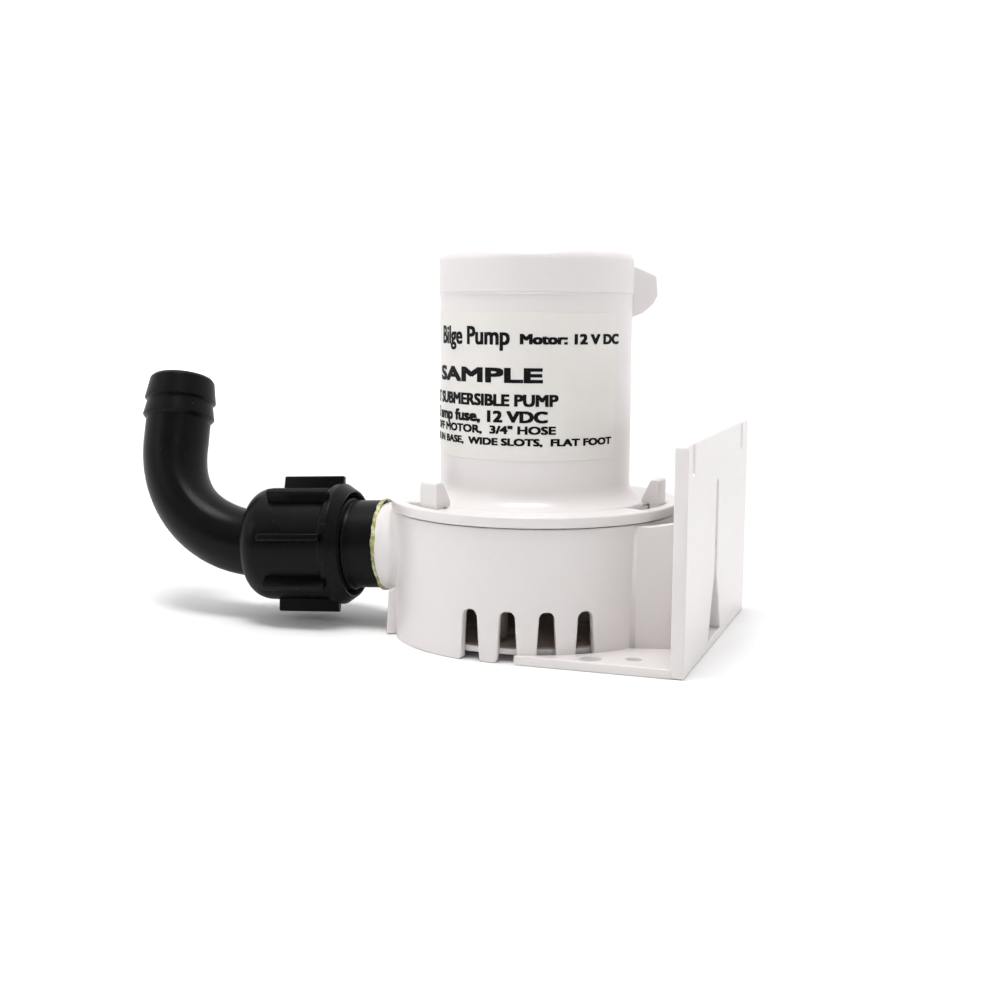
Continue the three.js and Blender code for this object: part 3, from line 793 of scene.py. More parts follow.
@dataclass
class IntakeSlots:
    """The arched slots round the foot of the wall, worked out on the unrolled wall."""

    top: float = 13.6
    top_width: float = 4.0
    bottom_width: float = 5.2
    pitch: float = 15.0
    corner: float = 1.1
    places: tuple = (-7.5, 7.5, 22.5, 37.5, 142.5, 157.5, 172.5, 187.5, 262.5, 277.5)

    def outline(self, radius: float) -> Array:
        """Lower edge of one pitch of wall with a slot in the middle, as distance round and height.

        It runs along the tooth, up the slanted side, over a half circle and down again, with the
        tooth's corners rounded.

        Args:
            radius: radius at which the wall is unrolled.

        Returns:
            The edge's points, the last one left to the next pitch.
        """
        half = math.radians(self.pitch) * radius / 2
        arch, foot = self.top_width / 2, self.bottom_width / 2
        spring = self.top - arch
        tooth = np.column_stack([np.linspace(-half, -foot - self.corner, 5), np.zeros(5)])
        angle = np.linspace(0, math.pi / 2, 6)[1:-1]
        turn = np.column_stack([-foot - self.corner * (1 - np.sin(angle)),
                                self.corner * (1 - np.cos(angle))])
        rise = np.linspace(0, 1, 9)[:, None]
        side = np.array([-foot, self.corner]) + rise * np.array([foot - arch, spring - self.corner])
        bow = math.pi - np.linspace(0, math.pi / 2, 10)[1:]
        over = np.column_stack([arch * np.cos(bow), spring + arch * np.sin(bow)])
        left = np.concatenate([tooth, turn, side, over])
        return np.concatenate([left, left[-2::-1] * np.array([-1, 1])])[:-1]

    def plain(self, radius: float) -> Array:
        """Lower edge of one pitch of wall with no slot."""
        half = math.radians(self.pitch) * radius / 2
        return np.column_stack([np.linspace(-half, half, 13), np.zeros(13)])[:-1]


@dataclass
class RoundWall:
    """The tapered round wall of the base with its intake slots."""

    foot_radius: float = 38.6
    top_radius: float = 39.0
    top: float = 34.7
    thickness: float = 2.2
    edge: float = 0.35
    slots: IntakeSlots = field(default_factory=IntakeSlots)

    def radius(self, height: Array) -> Array:
        """Outer radius at a height: a straight taper."""
        return self.foot_radius + (self.top_radius - self.foot_radius) * height / self.top

    def form(self) -> Form:
        """The wall as one closed surface.

        Each column starts on the top edge, runs down the outside to the lower outline, turns under
        it through a rounded edge and comes up again on the inside. A point at distance d round,
        height z and depth t into the wall is at angle d / R, radius R(z) - t.

        Returns:
            The wall.
        """
        mean = (self.foot_radius + self.top_radius) / 2
        columns, tops = [], []
        width = math.radians(self.slots.pitch) * mean
        slotted = {round(p, 1) % 360 for p in self.slots.places}
        for place in np.arange(self.slots.pitch / 2, 360, self.slots.pitch):
            draw = self.slots.outline if round(place, 1) in slotted else self.slots.plain
            edge = draw(mean)
            middle = math.radians(place - 90) * mean
            columns.append(edge + np.array([middle, 0]))
            tops.append(middle - width / 2 + width * np.arange(len(edge)) / len(edge))
        path, top_at = np.concatenate(columns), np.concatenate(tops)
        whole = 2 * math.pi * mean
        ahead, behind = np.roll(path, -1, 0), np.roll(path, 1, 0)
        ahead[-1, 0] += whole
        behind[0, 0] -= whole
        along = ahead - behind
        along /= np.linalg.norm(along, axis=1)[:, None]
        into = np.column_stack([-along[:, 1], along[:, 0]])
        e, t = self.edge, self.thickness
        bend = np.linspace(0, math.pi / 2, 5)
        rows = 8
        share = np.linspace(0, 1, rows + 1)
        upper = np.column_stack([top_at, np.full(len(top_at), self.top - e)])
        sunk = path + into * e
        drop = upper[:, None] + (sunk - upper)[:, None] * share[None, :, None]
        rolled = path[:, None] + into[:, None] * (e * (1 - np.sin(bend)))[None, :, None]
        rim = upper[:, None] + np.stack([0 * bend, e * np.sin(bend)], -1)[None]
        curl = e * (1 - np.cos(bend))
        flatmap = np.concatenate([rim[:, ::-1], drop[:, 1:], rolled[:, 1:],
                                  rolled[:, ::-1], drop[:, -2::-1], rim[:, 1:]], axis=1)
        outside = [curl[::-1], np.zeros(rows), curl[1:]]
        inside = [t - curl[::-1], np.full(rows, t), t - curl[1:]]
        reach = self.radius(flatmap[..., 1]) - np.concatenate(outside + inside)[None, :]
        points = polar(reach, flatmap[..., 0] / mean, flatmap[..., 1])
        return Form().grid(points, wrap_u=True, wrap_v=True)


@dataclass
class Discharge:
    """The tilted line of the discharge, its boss on the wall and the fittings' frame."""

    origin: tuple = (-28.5, -3.8, 23.47)
    turn: float = 4.84
    droop: float = 2.48
    boss_radius: float = 12.9
    boss_end: float = 13.8
    boss_wall: float = 2.1
    straight: float = 1.3
    flow_limits: tuple = (0.8, 6.5)
    sunk: float = 1.5
    ceiling_softness: float = 0.6

    def frame(self) -> Array:
        """Matrix of the line: X outwards along the fittings, Y towards the front, Z up."""
        c, s = math.cos(math.radians(self.droop)), math.sin(math.radians(self.droop))
        tilt = frame_of((c, 0, -s), (0, 1, 0), (s, 0, c))
        whole = turned_about_z(180 + self.turn) @ tilt
        whole[:3, 3] = self.origin
        return whole

    def lathe_frame(self) -> Array:
        """Matrix that lays a turned form along the line."""
        return self.frame() @ SIDEWAYS

    def boss(self, wall_radius: float, ceiling: float) -> Form:
        """The boss flows out of the round wall.

        Round the boss at angle a, a straight generator at the boss's radius meets the wall at C. The
        flow is the curve (1-t)^2 L0 + 2 t (1-t) C + t^2 L1, from L0 on the generator to L1, where a
        generator at a larger radius meets the wall. Heights stop softly at the ceiling: a height h
        over it becomes ceiling - s ln(1 + e^(-h / s)), with s the softness.

        Args:
            wall_radius: radius of the round wall.
            ceiling: height that nothing passes.

        Returns:
            The boss, with the mouth of its socket.
        """
        matrix = self.frame()
        x_axis, y_axis, z_axis = matrix[:3, 0], matrix[:3, 1], matrix[:3, 2]
        angle = full_turn(144)
        spoke = np.cos(angle)[:, None] * y_axis + np.sin(angle)[:, None] * z_axis

        def meet(radius: Array, reach: float) -> Array:
            """Distance out to where the generator at a radius meets a cylinder about the pump axis."""
            start = matrix[:3, 3] + spoke * radius[:, None]
            a = (x_axis[:2] ** 2).sum()
            b = (start[:, :2] * x_axis[:2]).sum(1)
            c = (start[:, :2] ** 2).sum(1) - reach ** 2
            return (-b + np.sqrt(np.maximum(b * b - a * c, 0))) / a

        def at(out: Array, radius: Array) -> Array:
            """Points at a distance out and a radius."""
            return matrix[:3, 3] + x_axis * out[:, None] + spoke * radius[:, None]

        radius = np.full(len(angle), self.boss_radius)
        crossing = meet(radius, wall_radius)
        room = np.clip(self.boss_end - self.straight - crossing, *self.flow_limits)
        wide = radius + room
        mouth = [(0.0, self.boss_wall), (0.0, 0.5), (0.08, 0.24), (0.22, 0.08), (0.45, 0.0), (0.5, 0.0)]
        ring = [at(np.full(len(angle), self.boss_end - d), radius - r) for d, r in mouth]
        first, corner = at(crossing + room, radius), at(crossing, radius)
        last = at(meet(wide, wall_radius), wide)
        share = np.linspace(0, 1, 13)[:, None, None]
        flow = (1 - share) ** 2 * first + 2 * share * (1 - share) * corner + share ** 2 * last
        socket = radius - self.boss_wall
        outer = at(meet(wide, wall_radius - self.sunk), wide - 0.3)
        inner = at(meet(socket, wall_radius - self.sunk), socket)
        rings = np.stack([*ring, *flow, outer, inner])
        soft = self.ceiling_softness
        under = (ceiling - rings[..., 2]) / soft
        rings[..., 2] = ceiling - soft * np.log1p(np.exp(np.clip(under, -60, 60)))
        return Form().grid(rings, wrap_u=True, wrap_v=True)


@dataclass
class BracketSide:
    """The wall bracket, its two webs, the feet and their fillets."""

    inner: float = 47.2
    outer: float = 50.65
    near: float = -38.8
    far: float = 49.5
    top: float = 57.4
    notches: tuple = (38.6, -31.9)
    notch_half: float = 1.6
    notch_depth: float = 8.0
    foot_left: float = 6.9
    foot_inner_end: float = -16.4
    screw_holes: tuple = ((2.75, (25.9, -34.5), 48), (2.1, (36.4, -31.4), 40))
    foot_thickness: float = 2.45
    wall_reach: float = 38.2
    web_start: tuple = (32.2, -20.5)
    web_turn: float = 15.0
    web_thickness: float = 2.4
    web_height: float = 36.0
    web_step: tuple = (5.5, 34.3)

    def plate(self) -> Form:
        """Upright plate with a flared hanging slot and two notches, drawn in Y and Z."""
        rim = [(self.near, 0), (self.far, 0), (self.far, self.top)]
        dip = self.top - self.notch_depth
        for y in self.notches:
            far, near = y + self.notch_half, y - self.notch_half
            rim += [(far, self.top), (far, dip), (near, dip), (near, self.top)]
        rim.append((self.near, self.top))
        outline = rounded(rim, [0.9, 0.9, 1.4] + [0.75] * 8 + [1.4])
        middle, wide, narrow, flare_top, slot_top = 1.6, 9.0, 1.5, 19.8, 44.8
        half = [(wide, self.foot_thickness), (narrow, flare_top), (narrow, slot_top)]
        slot = [(middle - y, z) for y, z in half] + [(middle + y, z) for y, z in half[::-1]]
        hole = rounded(slot, [0.6, 6.0, 1.2, 1.2, 6.0, 0.6])
        return Form().slab([outline, hole], self.inner, self.outer, 0.5, SIDEWAYS, 5)

    def foot(self, side: Array) -> Form:
        """Foot plate with two screw holes, its inner edge an arc just inside the round wall.

        Args:
            side: matrix of the front or the rear side.

        Returns:
            The foot.
        """
        reach, left = self.wall_reach, self.foot_left
        arc_start, arc_end = math.atan2(*self.web_start[::-1]), -math.acos(left / reach)
        arc = polar(reach, np.linspace(arc_start, arc_end, 24)[:-1])
        right = self.inner + 0.4
        sides = [(left, -math.sqrt(reach ** 2 - left ** 2)), (left, self.near), (right, self.near),
                 (right, self.foot_inner_end)]
        radii = [0.45, 1.6, 0.5, 0.5, 0.6] + [0.01] * (len(arc) - 1)
        outline = rounded([*sides, *arc], radii, 4)
        holes = [circle(radius, place, points, True) for radius, place, points in self.screw_holes]
        return Form().slab([outline, *holes], 0, self.foot_thickness, 0.35, side)

    def web(self, side: Array) -> Form:
        """Upright web from the round wall to the plate, with a step at the wall.

        Args:
            side: matrix of the front or the rear side.

        Returns:
            The web.
        """
        length = (self.inner + 1 - self.web_start[0]) / math.cos(math.radians(self.web_turn))
        start, low = -2, 0.5
        outline = rounded([(start, low), (length, low), (length, self.web_height), self.web_step,
                           (start, self.web_step[1])], [0.5, 0.5, 0.5, 2.0, 0.5])
        lean = turned_about_z(self.web_turn)
        lean[:3, 3] = (*self.web_start, 0)
        return Form().slab([outline], -self.web_thickness, 0, 0.35, side @ lean @ UPRIGHT)

    def cove(self, corner: Sequence[float], first: Sequence[float], second: Sequence[float],
             radius: float, low: float, high: float, matrix: Array) -> Form:
        """A hollow fillet in a corner, drawn flat and carried from low to high.

        Args:
            corner: the corner.
            first: unit direction of one of its sides.
            second: unit direction of the other.
            radius: radius of the hollow.
            low: start of the fillet.
            high: end of the fillet.
            matrix: place of the drawing plane.

        Returns:
            The fillet.
        """
        corner, first, second = (np.asarray(v, float) for v in (corner, first, second))
        far, steps = 4 * radius, 9
        each = steps + 3  # points that rounded gives a corner
        ends = [corner + first * far, corner, corner + second * far]
        bend = rounded(ends, [0, radius, 0], steps)[each:2 * each]
        back = corner - (first + second) * 0.5
        outline = np.vstack([bend, back])
        x, y = outline[:, 0], outline[:, 1]
        if (x * np.roll(y, -1) - y * np.roll(x, -1)).sum() < 0:
            outline = outline[::-1]
        return Form().slab([outline], low, high, 0, matrix)

    def fillets(self, side: Array) -> list[Form]:
        """Fillets of web to plate, web to wall and foot to plate.

        Args:
            side: matrix of the front or the rear side.

        Returns:
            The three fillets.
        """
        turn = math.radians(self.web_turn)
        along = np.array([math.cos(turn), math.sin(turn)])
        start = np.array(self.web_start)
        meeting = start + along * (self.inner - start[0]) / along[0]
        wall_angle = math.atan2(start[1], start[0])
        tangent = np.array([math.sin(wall_angle), -math.cos(wall_angle)])
        across = side @ UPRIGHT
        return [
            self.cove(meeting, -along, (0, -1), 2.3, 1.0, 35.2, side),
            self.cove(start + 0.03, along, tangent, 6.0, 1.0, 34.1, side),
            self.cove((self.inner, self.foot_thickness), (-1, 0), (0, 1), 0.9, 16.6, 38.2, across),
        ]


@dataclass
class Hook:
    """A bayonet hook on the base: a post whose ramped toe reaches in over the flange."""

    width: float = 7.3
    outer: float = 36.3
    inner: float = 33.8
    toe: float = 31.6
    low: float = 33.0
    top: float = 44.6
    under_toe: float = 38.3

    def form(self, azimuth: float) -> Form:
        """The hook drawn in radius and height, turned to its place."""
        outline = rounded([(self.inner, self.low), (self.outer, self.low), (self.outer, self.top),
                           (self.inner + 0.2, self.top), (self.toe, self.under_toe + 1.2),
                           (self.toe, self.under_toe), (self.inner, self.under_toe)],
                          [0.4, 0.4, 0.7, 0.7, 0.45, 0.4, 0.4])
        half = self.width / 2
        return Form().slab([outline], -half, half, 0.3, turned_about_z(azimuth) @ UPRIGHT)


@dataclass
class Base:
    """The base moulding, in pieces that lie in one another as one moulding."""

    wall: RoundWall = field(default_factory=RoundWall)
    line: Discharge = field(default_factory=Discharge)
    bracket: BracketSide = field(default_factory=BracketSide)
    hook: Hook = field(default_factory=Hook)
    mouth: float = 29.9
    deck_low: float = 31.9
    deck_top: float = 34.66
    eye: float = 11.0
    chamber_floor: float = 13.0
    scroll_azimuth: float = 190.0
    scroll_start: float = 27.5
    scroll_growth: float = 6.2
    scroll_wall: float = 2.0
    rib_azimuth: float = 206.0
    boss_wall_radius: float = 38.9

    def scroll(self, offset: float) -> Array:
        """Outline of the pump chamber, whose radius grows evenly round to the discharge.

        Args:
            offset: distance outside the chamber's inner face.

        Returns:
            The outline, anticlockwise.
        """
        share = np.linspace(0, 1, 121)
        radius = self.scroll_start + offset + self.scroll_growth * share
        return polar(radius, math.radians(self.scroll_azimuth) + 2 * math.pi * share)

    def inside(self) -> Form:
        """Deck under the head, chamber wall, chamber floor and the inlet eye."""
        shell = self.wall.foot_radius - self.wall.thickness + 0.4
        deck = rounded([(self.mouth, self.deck_low), (shell, self.deck_low), (shell, self.deck_top),
                        (self.mouth, self.deck_top)], [0.3, 0, 0, 0.6])
        lip, lip_low, floor_top = self.eye + 1.6, self.chamber_floor - 1.6, self.chamber_floor + 1.8
        floor = rounded([(self.eye, lip_low), (lip, lip_low), (lip, self.chamber_floor),
                         (shell, self.chamber_floor), (shell, floor_top), (self.eye, floor_top)],
                        [0.3, 0.3, 0.8, 0, 0, 0.5])
        chamber = [self.scroll(self.scroll_wall), self.scroll(0)[::-1]]
        form = Form().lathe(deck).lathe(floor)
        return form.slab(chamber, self.chamber_floor + 0.6, self.deck_low + 0.3, 0)

    def wall_rib(self) -> Form:
        """A short upright rib on the wall beside the discharge."""
        outline = rounded([(37.5, 0.2), (41.2, 0.2), (40.6, 12), (37.5, 14)], [0.4, 0.4, 0.8, 0.4])
        return Form().slab([outline], -1, 1, 0.3, turned_about_z(self.rib_azimuth) @ UPRIGHT)

    def build(self, shop: Workshop) -> None:
        """Makes and dresses the base moulding."""
        node = ("base_housing",)
        parts = {
            "round_wall": self.wall.form(), "chamber": self.inside(), "wall_rib": self.wall_rib(),
            "discharge_boss": self.line.boss(self.boss_wall_radius, self.wall.top),
            "bracket_plate": self.bracket.plate(),
        }
        for name, side in (("front", FLAT), ("rear", MIRRORED)):
            parts[f"foot_{name}"] = self.bracket.foot(side)
            parts[f"web_{name}"] = self.bracket.web(side)
            for number, form in enumerate(self.bracket.fillets(side)):
                parts[f"fillet_{name}_{number + 1}"] = form
        for number, azimuth in enumerate(HOOK_AZIMUTHS):
            parts[f"hook_{number + 1}"] = self.hook.form(azimuth)
        for name, form in parts.items():
            shop.fit(form.mesh(name), "base", Slot.HOUSING, node)


@dataclass
class Strainer(OnePiece):
    """The slotted floor under the pump chamber."""

    ticket = ("strainer_plate", "base", Slot.HOUSING, "strainer_floor")
    radius: float = 36.1
    low: float = 1.8
    high: float = 3.4
    pad: float = 7.0
    slot_count: int = 8
    slot_ends: tuple = (14, 29)
    slot_half: float = 1.5
    post: float = 2.4
    post_reach: float = 22
    post_top: float = 12.7
    first_post: float = 22.5

    def form(self) -> Form:
        """The disc with its long slots, its pad and three posts."""
        (near, far), half = self.slot_ends, self.slot_half
        slot = rounded([(near, -half), (near, half), (far, half), (far, -half)], 1.4)
        flat = np.column_stack([slot, np.zeros(len(slot))])
        slots = [moved(flat, turned_about_z(360 / self.slot_count * number))[:, :2]
                 for number in range(self.slot_count)]
        form = Form().slab([circle(self.radius), *slots], self.low, self.high, 0.3)
        form.slab([circle(self.pad, points=72)], 0, self.low + 0.4, 0.3)
        for number in range(3):
            place = polar(self.post_reach, math.radians(self.first_post + 120 * number))
            form.slab([circle(self.post, place, 36)], self.high - 0.5, self.post_top, 0.2)
        return form


# ---- discharge fittings -----------------------------------------------------------------------


@dataclass
class Tailpiece(OnePiece):
    """The pipe cemented into the boss, with a thread for the nut."""

    ticket = ("tailpiece", "base", Slot.FITTING, "outlet_tailpiece")
    line: Discharge
    bore: float = 8.4
    spigot: float = 10.6
    radius: float = 12.5
    start: float = 5.1
    shoulder: float = 14.1
    thread: float = 13.2
    thread_depth: float = 0.62
    thread_start: float = 22.9
    end: float = 40.0
    pitch: float = 2.0

    def form(self) -> Form:
        """The profile carried round the line.

        On the thread the radius rises from the core by the thread's depth times a clipped triangle
        wave of (distance along / pitch + angle / full turn), which fades at both ends.

        Returns:
            The pipe.
        """
        core = self.thread - self.thread_depth
        outline = rounded([(self.bore, self.start), (self.spigot, self.start),
                           (self.spigot, self.shoulder), (self.radius, self.shoulder),
                           (self.radius, 22.5), (core, self.thread_start)],
                          [0.3, 0.3, 0.2, 0.2, 0.3, 0.1])[:-4]  # half of the last corner's points
        run = np.column_stack([np.full(140, core), np.linspace(23.0, self.end - 0.5, 140)])
        tip = np.array([[core - 0.3, self.end - 0.1], [core - 0.6, self.end], [self.bore, self.end]])
        profile = np.vstack([outline, run, tip])
        angle = full_turn()[:, None]
        inner, height = profile[None, :, 0], profile[None, :, 1]
        phase = (height / self.pitch + angle / (2 * math.pi)) % 1
        ridge = np.clip(1.6 * (1 - np.abs(2 * phase - 1)) - 0.2, 0, 1)
        fade_in = np.clip((height - self.thread_start) / 0.6, 0, 1)
        fade_out = np.clip((self.end - 0.7 - height) / 1.2, 0, 1)
        on_thread = (inner == core) * (fade_in * fade_out)
        points = polar(inner + on_thread * ridge * (self.thread - core), angle, height)
        return Form().grid(moved(points, self.line.lathe_frame()), wrap_u=True, wrap_v=True)


@dataclass
class CementBead(OnePiece):
    """Uneven bead of cement round the joint of tailpiece and boss."""

    ticket = ("cement_bead", "base", Slot.GLUE, "glue_bead")
    line: Discharge
    ring: float = 12.75
    place: float = 14.0
    swell: float = 0.46

    def form(self) -> Form:
        """A ring whose section grows and shrinks with a sum of seeded waves round it."""
        angle = full_turn(260)[:, None]
        section = full_turn(14)[None, :]
        rng = np.random.default_rng(7)
        waves = sum(rng.uniform(0.2, 1) / k ** 0.5 * np.sin(k * angle + rng.uniform(0, 6.28))
                    for k in (3, 5, 8, 13, 21, 34, 47))
        waves /= np.abs(waves).max()
        drift = sum(np.sin(k * angle + rng.uniform(0, 6.28)) for k in (2, 7, 11, 19)) / 4
        size = self.swell * (1 + 0.62 * waves)
        radius = self.ring + 0.75 * size * np.cos(section)
        height = self.place + 0.25 * drift + 1.25 * size * np.sin(section)
        points = moved(polar(radius, angle, height), self.line.lathe_frame())
        return Form().grid(points, wrap_u=True, wrap_v=True)


@dataclass
class UnionNut(OnePiece):
    """Ribbed nut that draws the elbow onto the tailpiece."""

    ticket = ("nut_body", "nut", Slot.FITTING, "union_nut")
    line: Discharge
    start: float = 23.6
    end: float = 54.0
    collar: float = 17.3
    body: float = 16.2
    bore: float = 13.6
    rib_tip: float = 19.6
    rib_run: tuple = (27.6, 45.9)
    ribs: int = 8
    first_rib: float = 14.3
    lip: float = 10.15

    def barrel(self) -> Form:
        """Profile of bore, collar, barrel and round shoulder, turned about the line."""
        angle = np.linspace(0, math.pi / 2, 14)
        shoulder = np.column_stack([11.6 + 4.6 * np.cos(angle), 48 + 6 * np.sin(angle)])
        front = rounded([(self.bore, self.start + 2.8), (self.bore + 1.25, self.start),
                         (self.bore + 1.7, self.start), (self.collar, self.start + 3.0),
                         (self.collar, self.start + 4.9), (self.body, self.start + 5.4),
                         (self.body, 44)],
                        [0.3, 0.2, 0.3, 0.5, 0.4, 0.3, 0])[:-7]  # one point of the last corner
        back = np.array([(self.lip + 0.2, self.end), (self.lip, self.end - 0.2), (self.lip, 46.3),
                         (self.lip + 0.2, 46.1), (self.bore - 0.2, 46.1), (self.bore, 45.9)])
        return Form().lathe(np.vstack([front, shoulder, back]), self.line.lathe_frame())

    def form(self) -> Form:
        """The barrel with its ribs, each a tapered bar with rounded edges."""
        form = self.barrel()
        root, tip, low = 1.5, 0.95, self.bore + 1
        shape = rounded([(low, -root), (self.rib_tip, -tip), (self.rib_tip, tip), (low, root)], 0.5)
        for number in range(self.ribs):
            turn = turned_about_z(self.first_rib + 360 * number / self.ribs)
            form.slab([shape], *self.rib_run, 0.4, self.line.lathe_frame() @ turn)
        return form


@dataclass
class Elbow(OnePiece):
    """Bent tube with a collar inside the nut and two hose barbs at its mouth."""

    ticket = ("hose_elbow", "elbow", Slot.FITTING, "elbow_barb")
    line: Discharge
    tube: float = 9.68
    bore: float = 7.9
    barb: float = 10.72
    collar: float = 13.0
    collar_end: float = 45.8
    start: float = 41.9
    bend_start: float = 52.4
    bend: float = 31.0
    leg: float = 20.1
    lean: float = 20.0
    pinch: float = 1.4

    def path(self, along: Array) -> tuple[Array, Array]:
        """Centre line: straight in X, a quarter turn, then straight in Z.

        Args:
            along: distances from the line's origin.

        Returns:
            The points, and the angle turned at each.
        """
        turn = np.clip((along - self.bend_start) / self.bend, 0, math.pi / 2)
        rest = np.maximum(along - self.bend_start - self.bend * math.pi / 2, 0)
        x = np.minimum(along, self.bend_start) + self.bend * np.sin(turn)
        return np.stack([x, 0 * x, self.bend * (1 - np.cos(turn)) + rest], -1), turn

    def profile(self) -> Array:
        """Distance along and radius, out along the tube and back along the bore."""
        mouth = self.bend_start + self.bend * math.pi / 2 + self.leg
        collar = [(self.start, self.bore), (self.start, self.collar),
                  (self.collar_end, self.collar), (self.collar_end, self.tube)]
        outer = [(mouth - 13.4, self.tube), (mouth - 12.3, self.barb), (mouth - 7.7, 9.85),
                 (mouth - 7.1, self.barb), (mouth - 0.9, 9.75), (mouth, 9.0), (mouth, 8.6),
                 (mouth - 1.2, self.bore)]
        first = rounded(collar, [0.3, 0.3, 0.3, 0.2])
        second = rounded(outer, [0.15, 0.22, 0.1, 0.22, 0.5, 0.25, 0.15, 0.3])
        between = np.column_stack([np.linspace(46.4, mouth - 13.6, 60), np.full(60, self.tube)])
        back = np.column_stack([np.linspace(mouth - 2, self.start + 0.5, 60), np.full(60, self.bore)])
        return np.vstack([first, between, second, back])

    def form(self) -> Form:
        """The profile carried along the centre line.

        The inside of the bend is drawn in: the radius falls by pinch times a bell over the turned
        angle, times how far the section's angle faces the inside beyond a shoulder.

        Returns:
            The elbow.
        """
        profile = self.profile()
        centre, turn = self.path(profile[:, 0])
        normal = np.stack([-np.sin(turn), 0 * turn, np.cos(turn)], -1)
        angle = full_turn()[:, None]
        middle, spread, shoulder = 56, 24, 0.30
        bell = np.exp(-((np.degrees(turn) - middle) / spread) ** 2)
        bell = bell * (profile[:, 1] > self.bore + 0.5)
        facing = np.clip((np.cos(angle) - shoulder) / (1 - shoulder), 0, 1)
        radius = profile[None, :, 1] - self.pinch * bell[None, :] * facing
        side = np.array([0.0, 1.0, 0.0])
        spoke = np.cos(angle)[..., None] * normal[None] + np.sin(angle)[..., None] * side
        points = centre[None] + radius[..., None] * spoke
        c, s = math.cos(math.radians(self.lean)), math.sin(math.radians(self.lean))
        lean = frame_of((1, 0, 0), (0, c, s), (0, -s, c))
        return Form().grid(moved(points, self.line.frame() @ lean), wrap_u=True, wrap_v=True)


# ---- motor head -------------------------------------------------------------------------------


@dataclass
class HeadShell(OnePiece):
    """Round shell with a flange whose windows take the hooks, and a plug in the base's mouth."""

    ticket = ("head_shell", "head", Slot.HEAD, "motor_shell")
    radius: float = 26.1
    wall: float = 2.1
    top: float = 93.55
    flange_low: float = 35.0
    flange_top: float = 37.9
    flange_radius: float = 39.6
    cove: float = 5.0
    window_turns: tuple = (7.0, -6.0, -20.5)

    def window(self, azimuth: float) -> Array:
        """Window of one hook: narrow where the toe locks, wide where the hook lifts out.

        Args:
            azimuth: angle of the hook in degrees.

        Returns:
            The outline, clockwise.
        """
        outer, narrow, wide = 36.7, 33.4, 31.35
        end, step, start = (azimuth + turn for turn in self.window_turns)
        arcs = ((outer, end, start, 20), (wide, start, step, 12), (narrow, step, end, 12))
        return np.concatenate([polar(radius, np.radians(np.linspace(first, last, points)))
                               for radius, first, last, points in arcs])

    def form(self) -> Form:
        """The turned shell and the flange with its windows."""
        low, high = self.flange_low, self.flange_top
        windows = [self.window(azimuth) for azimuth in HOOK_AZIMUTHS]
        flange = [circle(self.flange_radius, points=240), *windows, circle(29.0, hole=True)]
        form = Form().slab(flange, low, high, 0.55, steps=5)
        bend = np.radians(np.linspace(270, 180, 22))
        cove = np.column_stack([self.radius + self.cove * (1 + np.cos(bend)),
                                high + self.cove * (1 + np.sin(bend))])
        rise = np.column_stack([np.full(30, self.radius),
                                np.linspace(high + self.cove + 0.3, self.top - 0.2, 30)])
        edge = np.radians(np.linspace(0, 90, 7))
        lip = polar(0.1, edge) + np.array([self.radius - 0.1, self.top - 0.1])
        inside, plug, groove = self.radius - self.wall, 29.6, 28.3
        inner = np.array([(inside, self.top), (inside, 39.5), (3.2, 39.5), (3.2, 36.4), (7.2, 36.4),
                          (7.2, 31.2), (plug - 0.3, 31.2), (plug, 31.5), (plug, 32.0), (groove, 32.0),
                          (groove, 33.8), (plug, 33.8), (plug, high - 0.3)])
        flash = full_turn(16)
        ridge = np.column_stack([self.radius + 0.02 + 0.24 * np.cos(flash),
                                 self.top - 0.1 + 0.17 * np.sin(flash)])
        return form.lathe(np.vstack([cove, rise, lip, inner])).lathe(ridge)


@dataclass
class HeadCap:
    """Cap over the motor with a hooded exit for the leads."""

    radius: float = 26.3
    low: float = 93.57
    top: float = 104.7
    lead_azimuth: float = 44.0
    lead_height: float = 96.5
    lead_width: float = 13.0
    lead_reach: float = 34.6

    def form(self) -> Form:
        """The turned cap, and the hood as an upright slab."""
        plug_low, plug, axis = self.low - 3.5, 23.8, 0.01
        profile = rounded([(axis, plug_low), (plug, plug_low), (plug, self.low),
                           (self.radius, self.low), (self.radius, self.top), (axis, self.top)],
                          [0, 0.2, 0, 0.35, 2.8, 0], 9)
        form = Form().lathe(profile)
        hood = rounded([(22, self.low + 0.3), (26.4, self.low + 0.3), (26.4, 87.3), (30.2, 88.6),
                        (33.4, 91.2), (self.lead_reach, 93.4), (34.1, 98.4), (33.5, 99.0),
                        (27.2, 101.2), (22, 101.8)],
                       [0.6, 0.3, 0.6, 1.5, 1.2, 0.8, 0.8, 0.8, 1.5, 0.6])
        half = self.lead_width / 2
        return form.slab([hood], -half, half, 0.5, turned_about_z(self.lead_azimuth) @ UPRIGHT)

    def grommet(self) -> Form:
        """A round plug with two lead holes, drawn across the hood and carried outwards."""
        across = turned_about_z(self.lead_azimuth) @ SIDEWAYS
        across[2, 3] = self.lead_height
        holes = [circle(0.7, (side, 0), 20, True) for side in (-1.05, 1.05)]
        return Form().slab([circle(2.4, points=48), *holes], 28, self.lead_reach + 0.45, 0.2, across)

    def build(self, shop: Workshop) -> None:
        """Makes and dresses the cap and its grommet."""
        shop.fit(self.form().mesh("head_cap"), "head", Slot.HEAD, ("motor_cap",))
        shop.fit(self.grommet().mesh("cap_grommet"), "head", Slot.SEAL, ("lead_grommet",))


@dataclass(frozen=True)
class Row:
    """One row of print: words, both ends in degrees from the front, and the rest in millimetres."""

    words: str
    start: float
    stop: float
    baseline: float
    height: float
    weight: float = 0.3


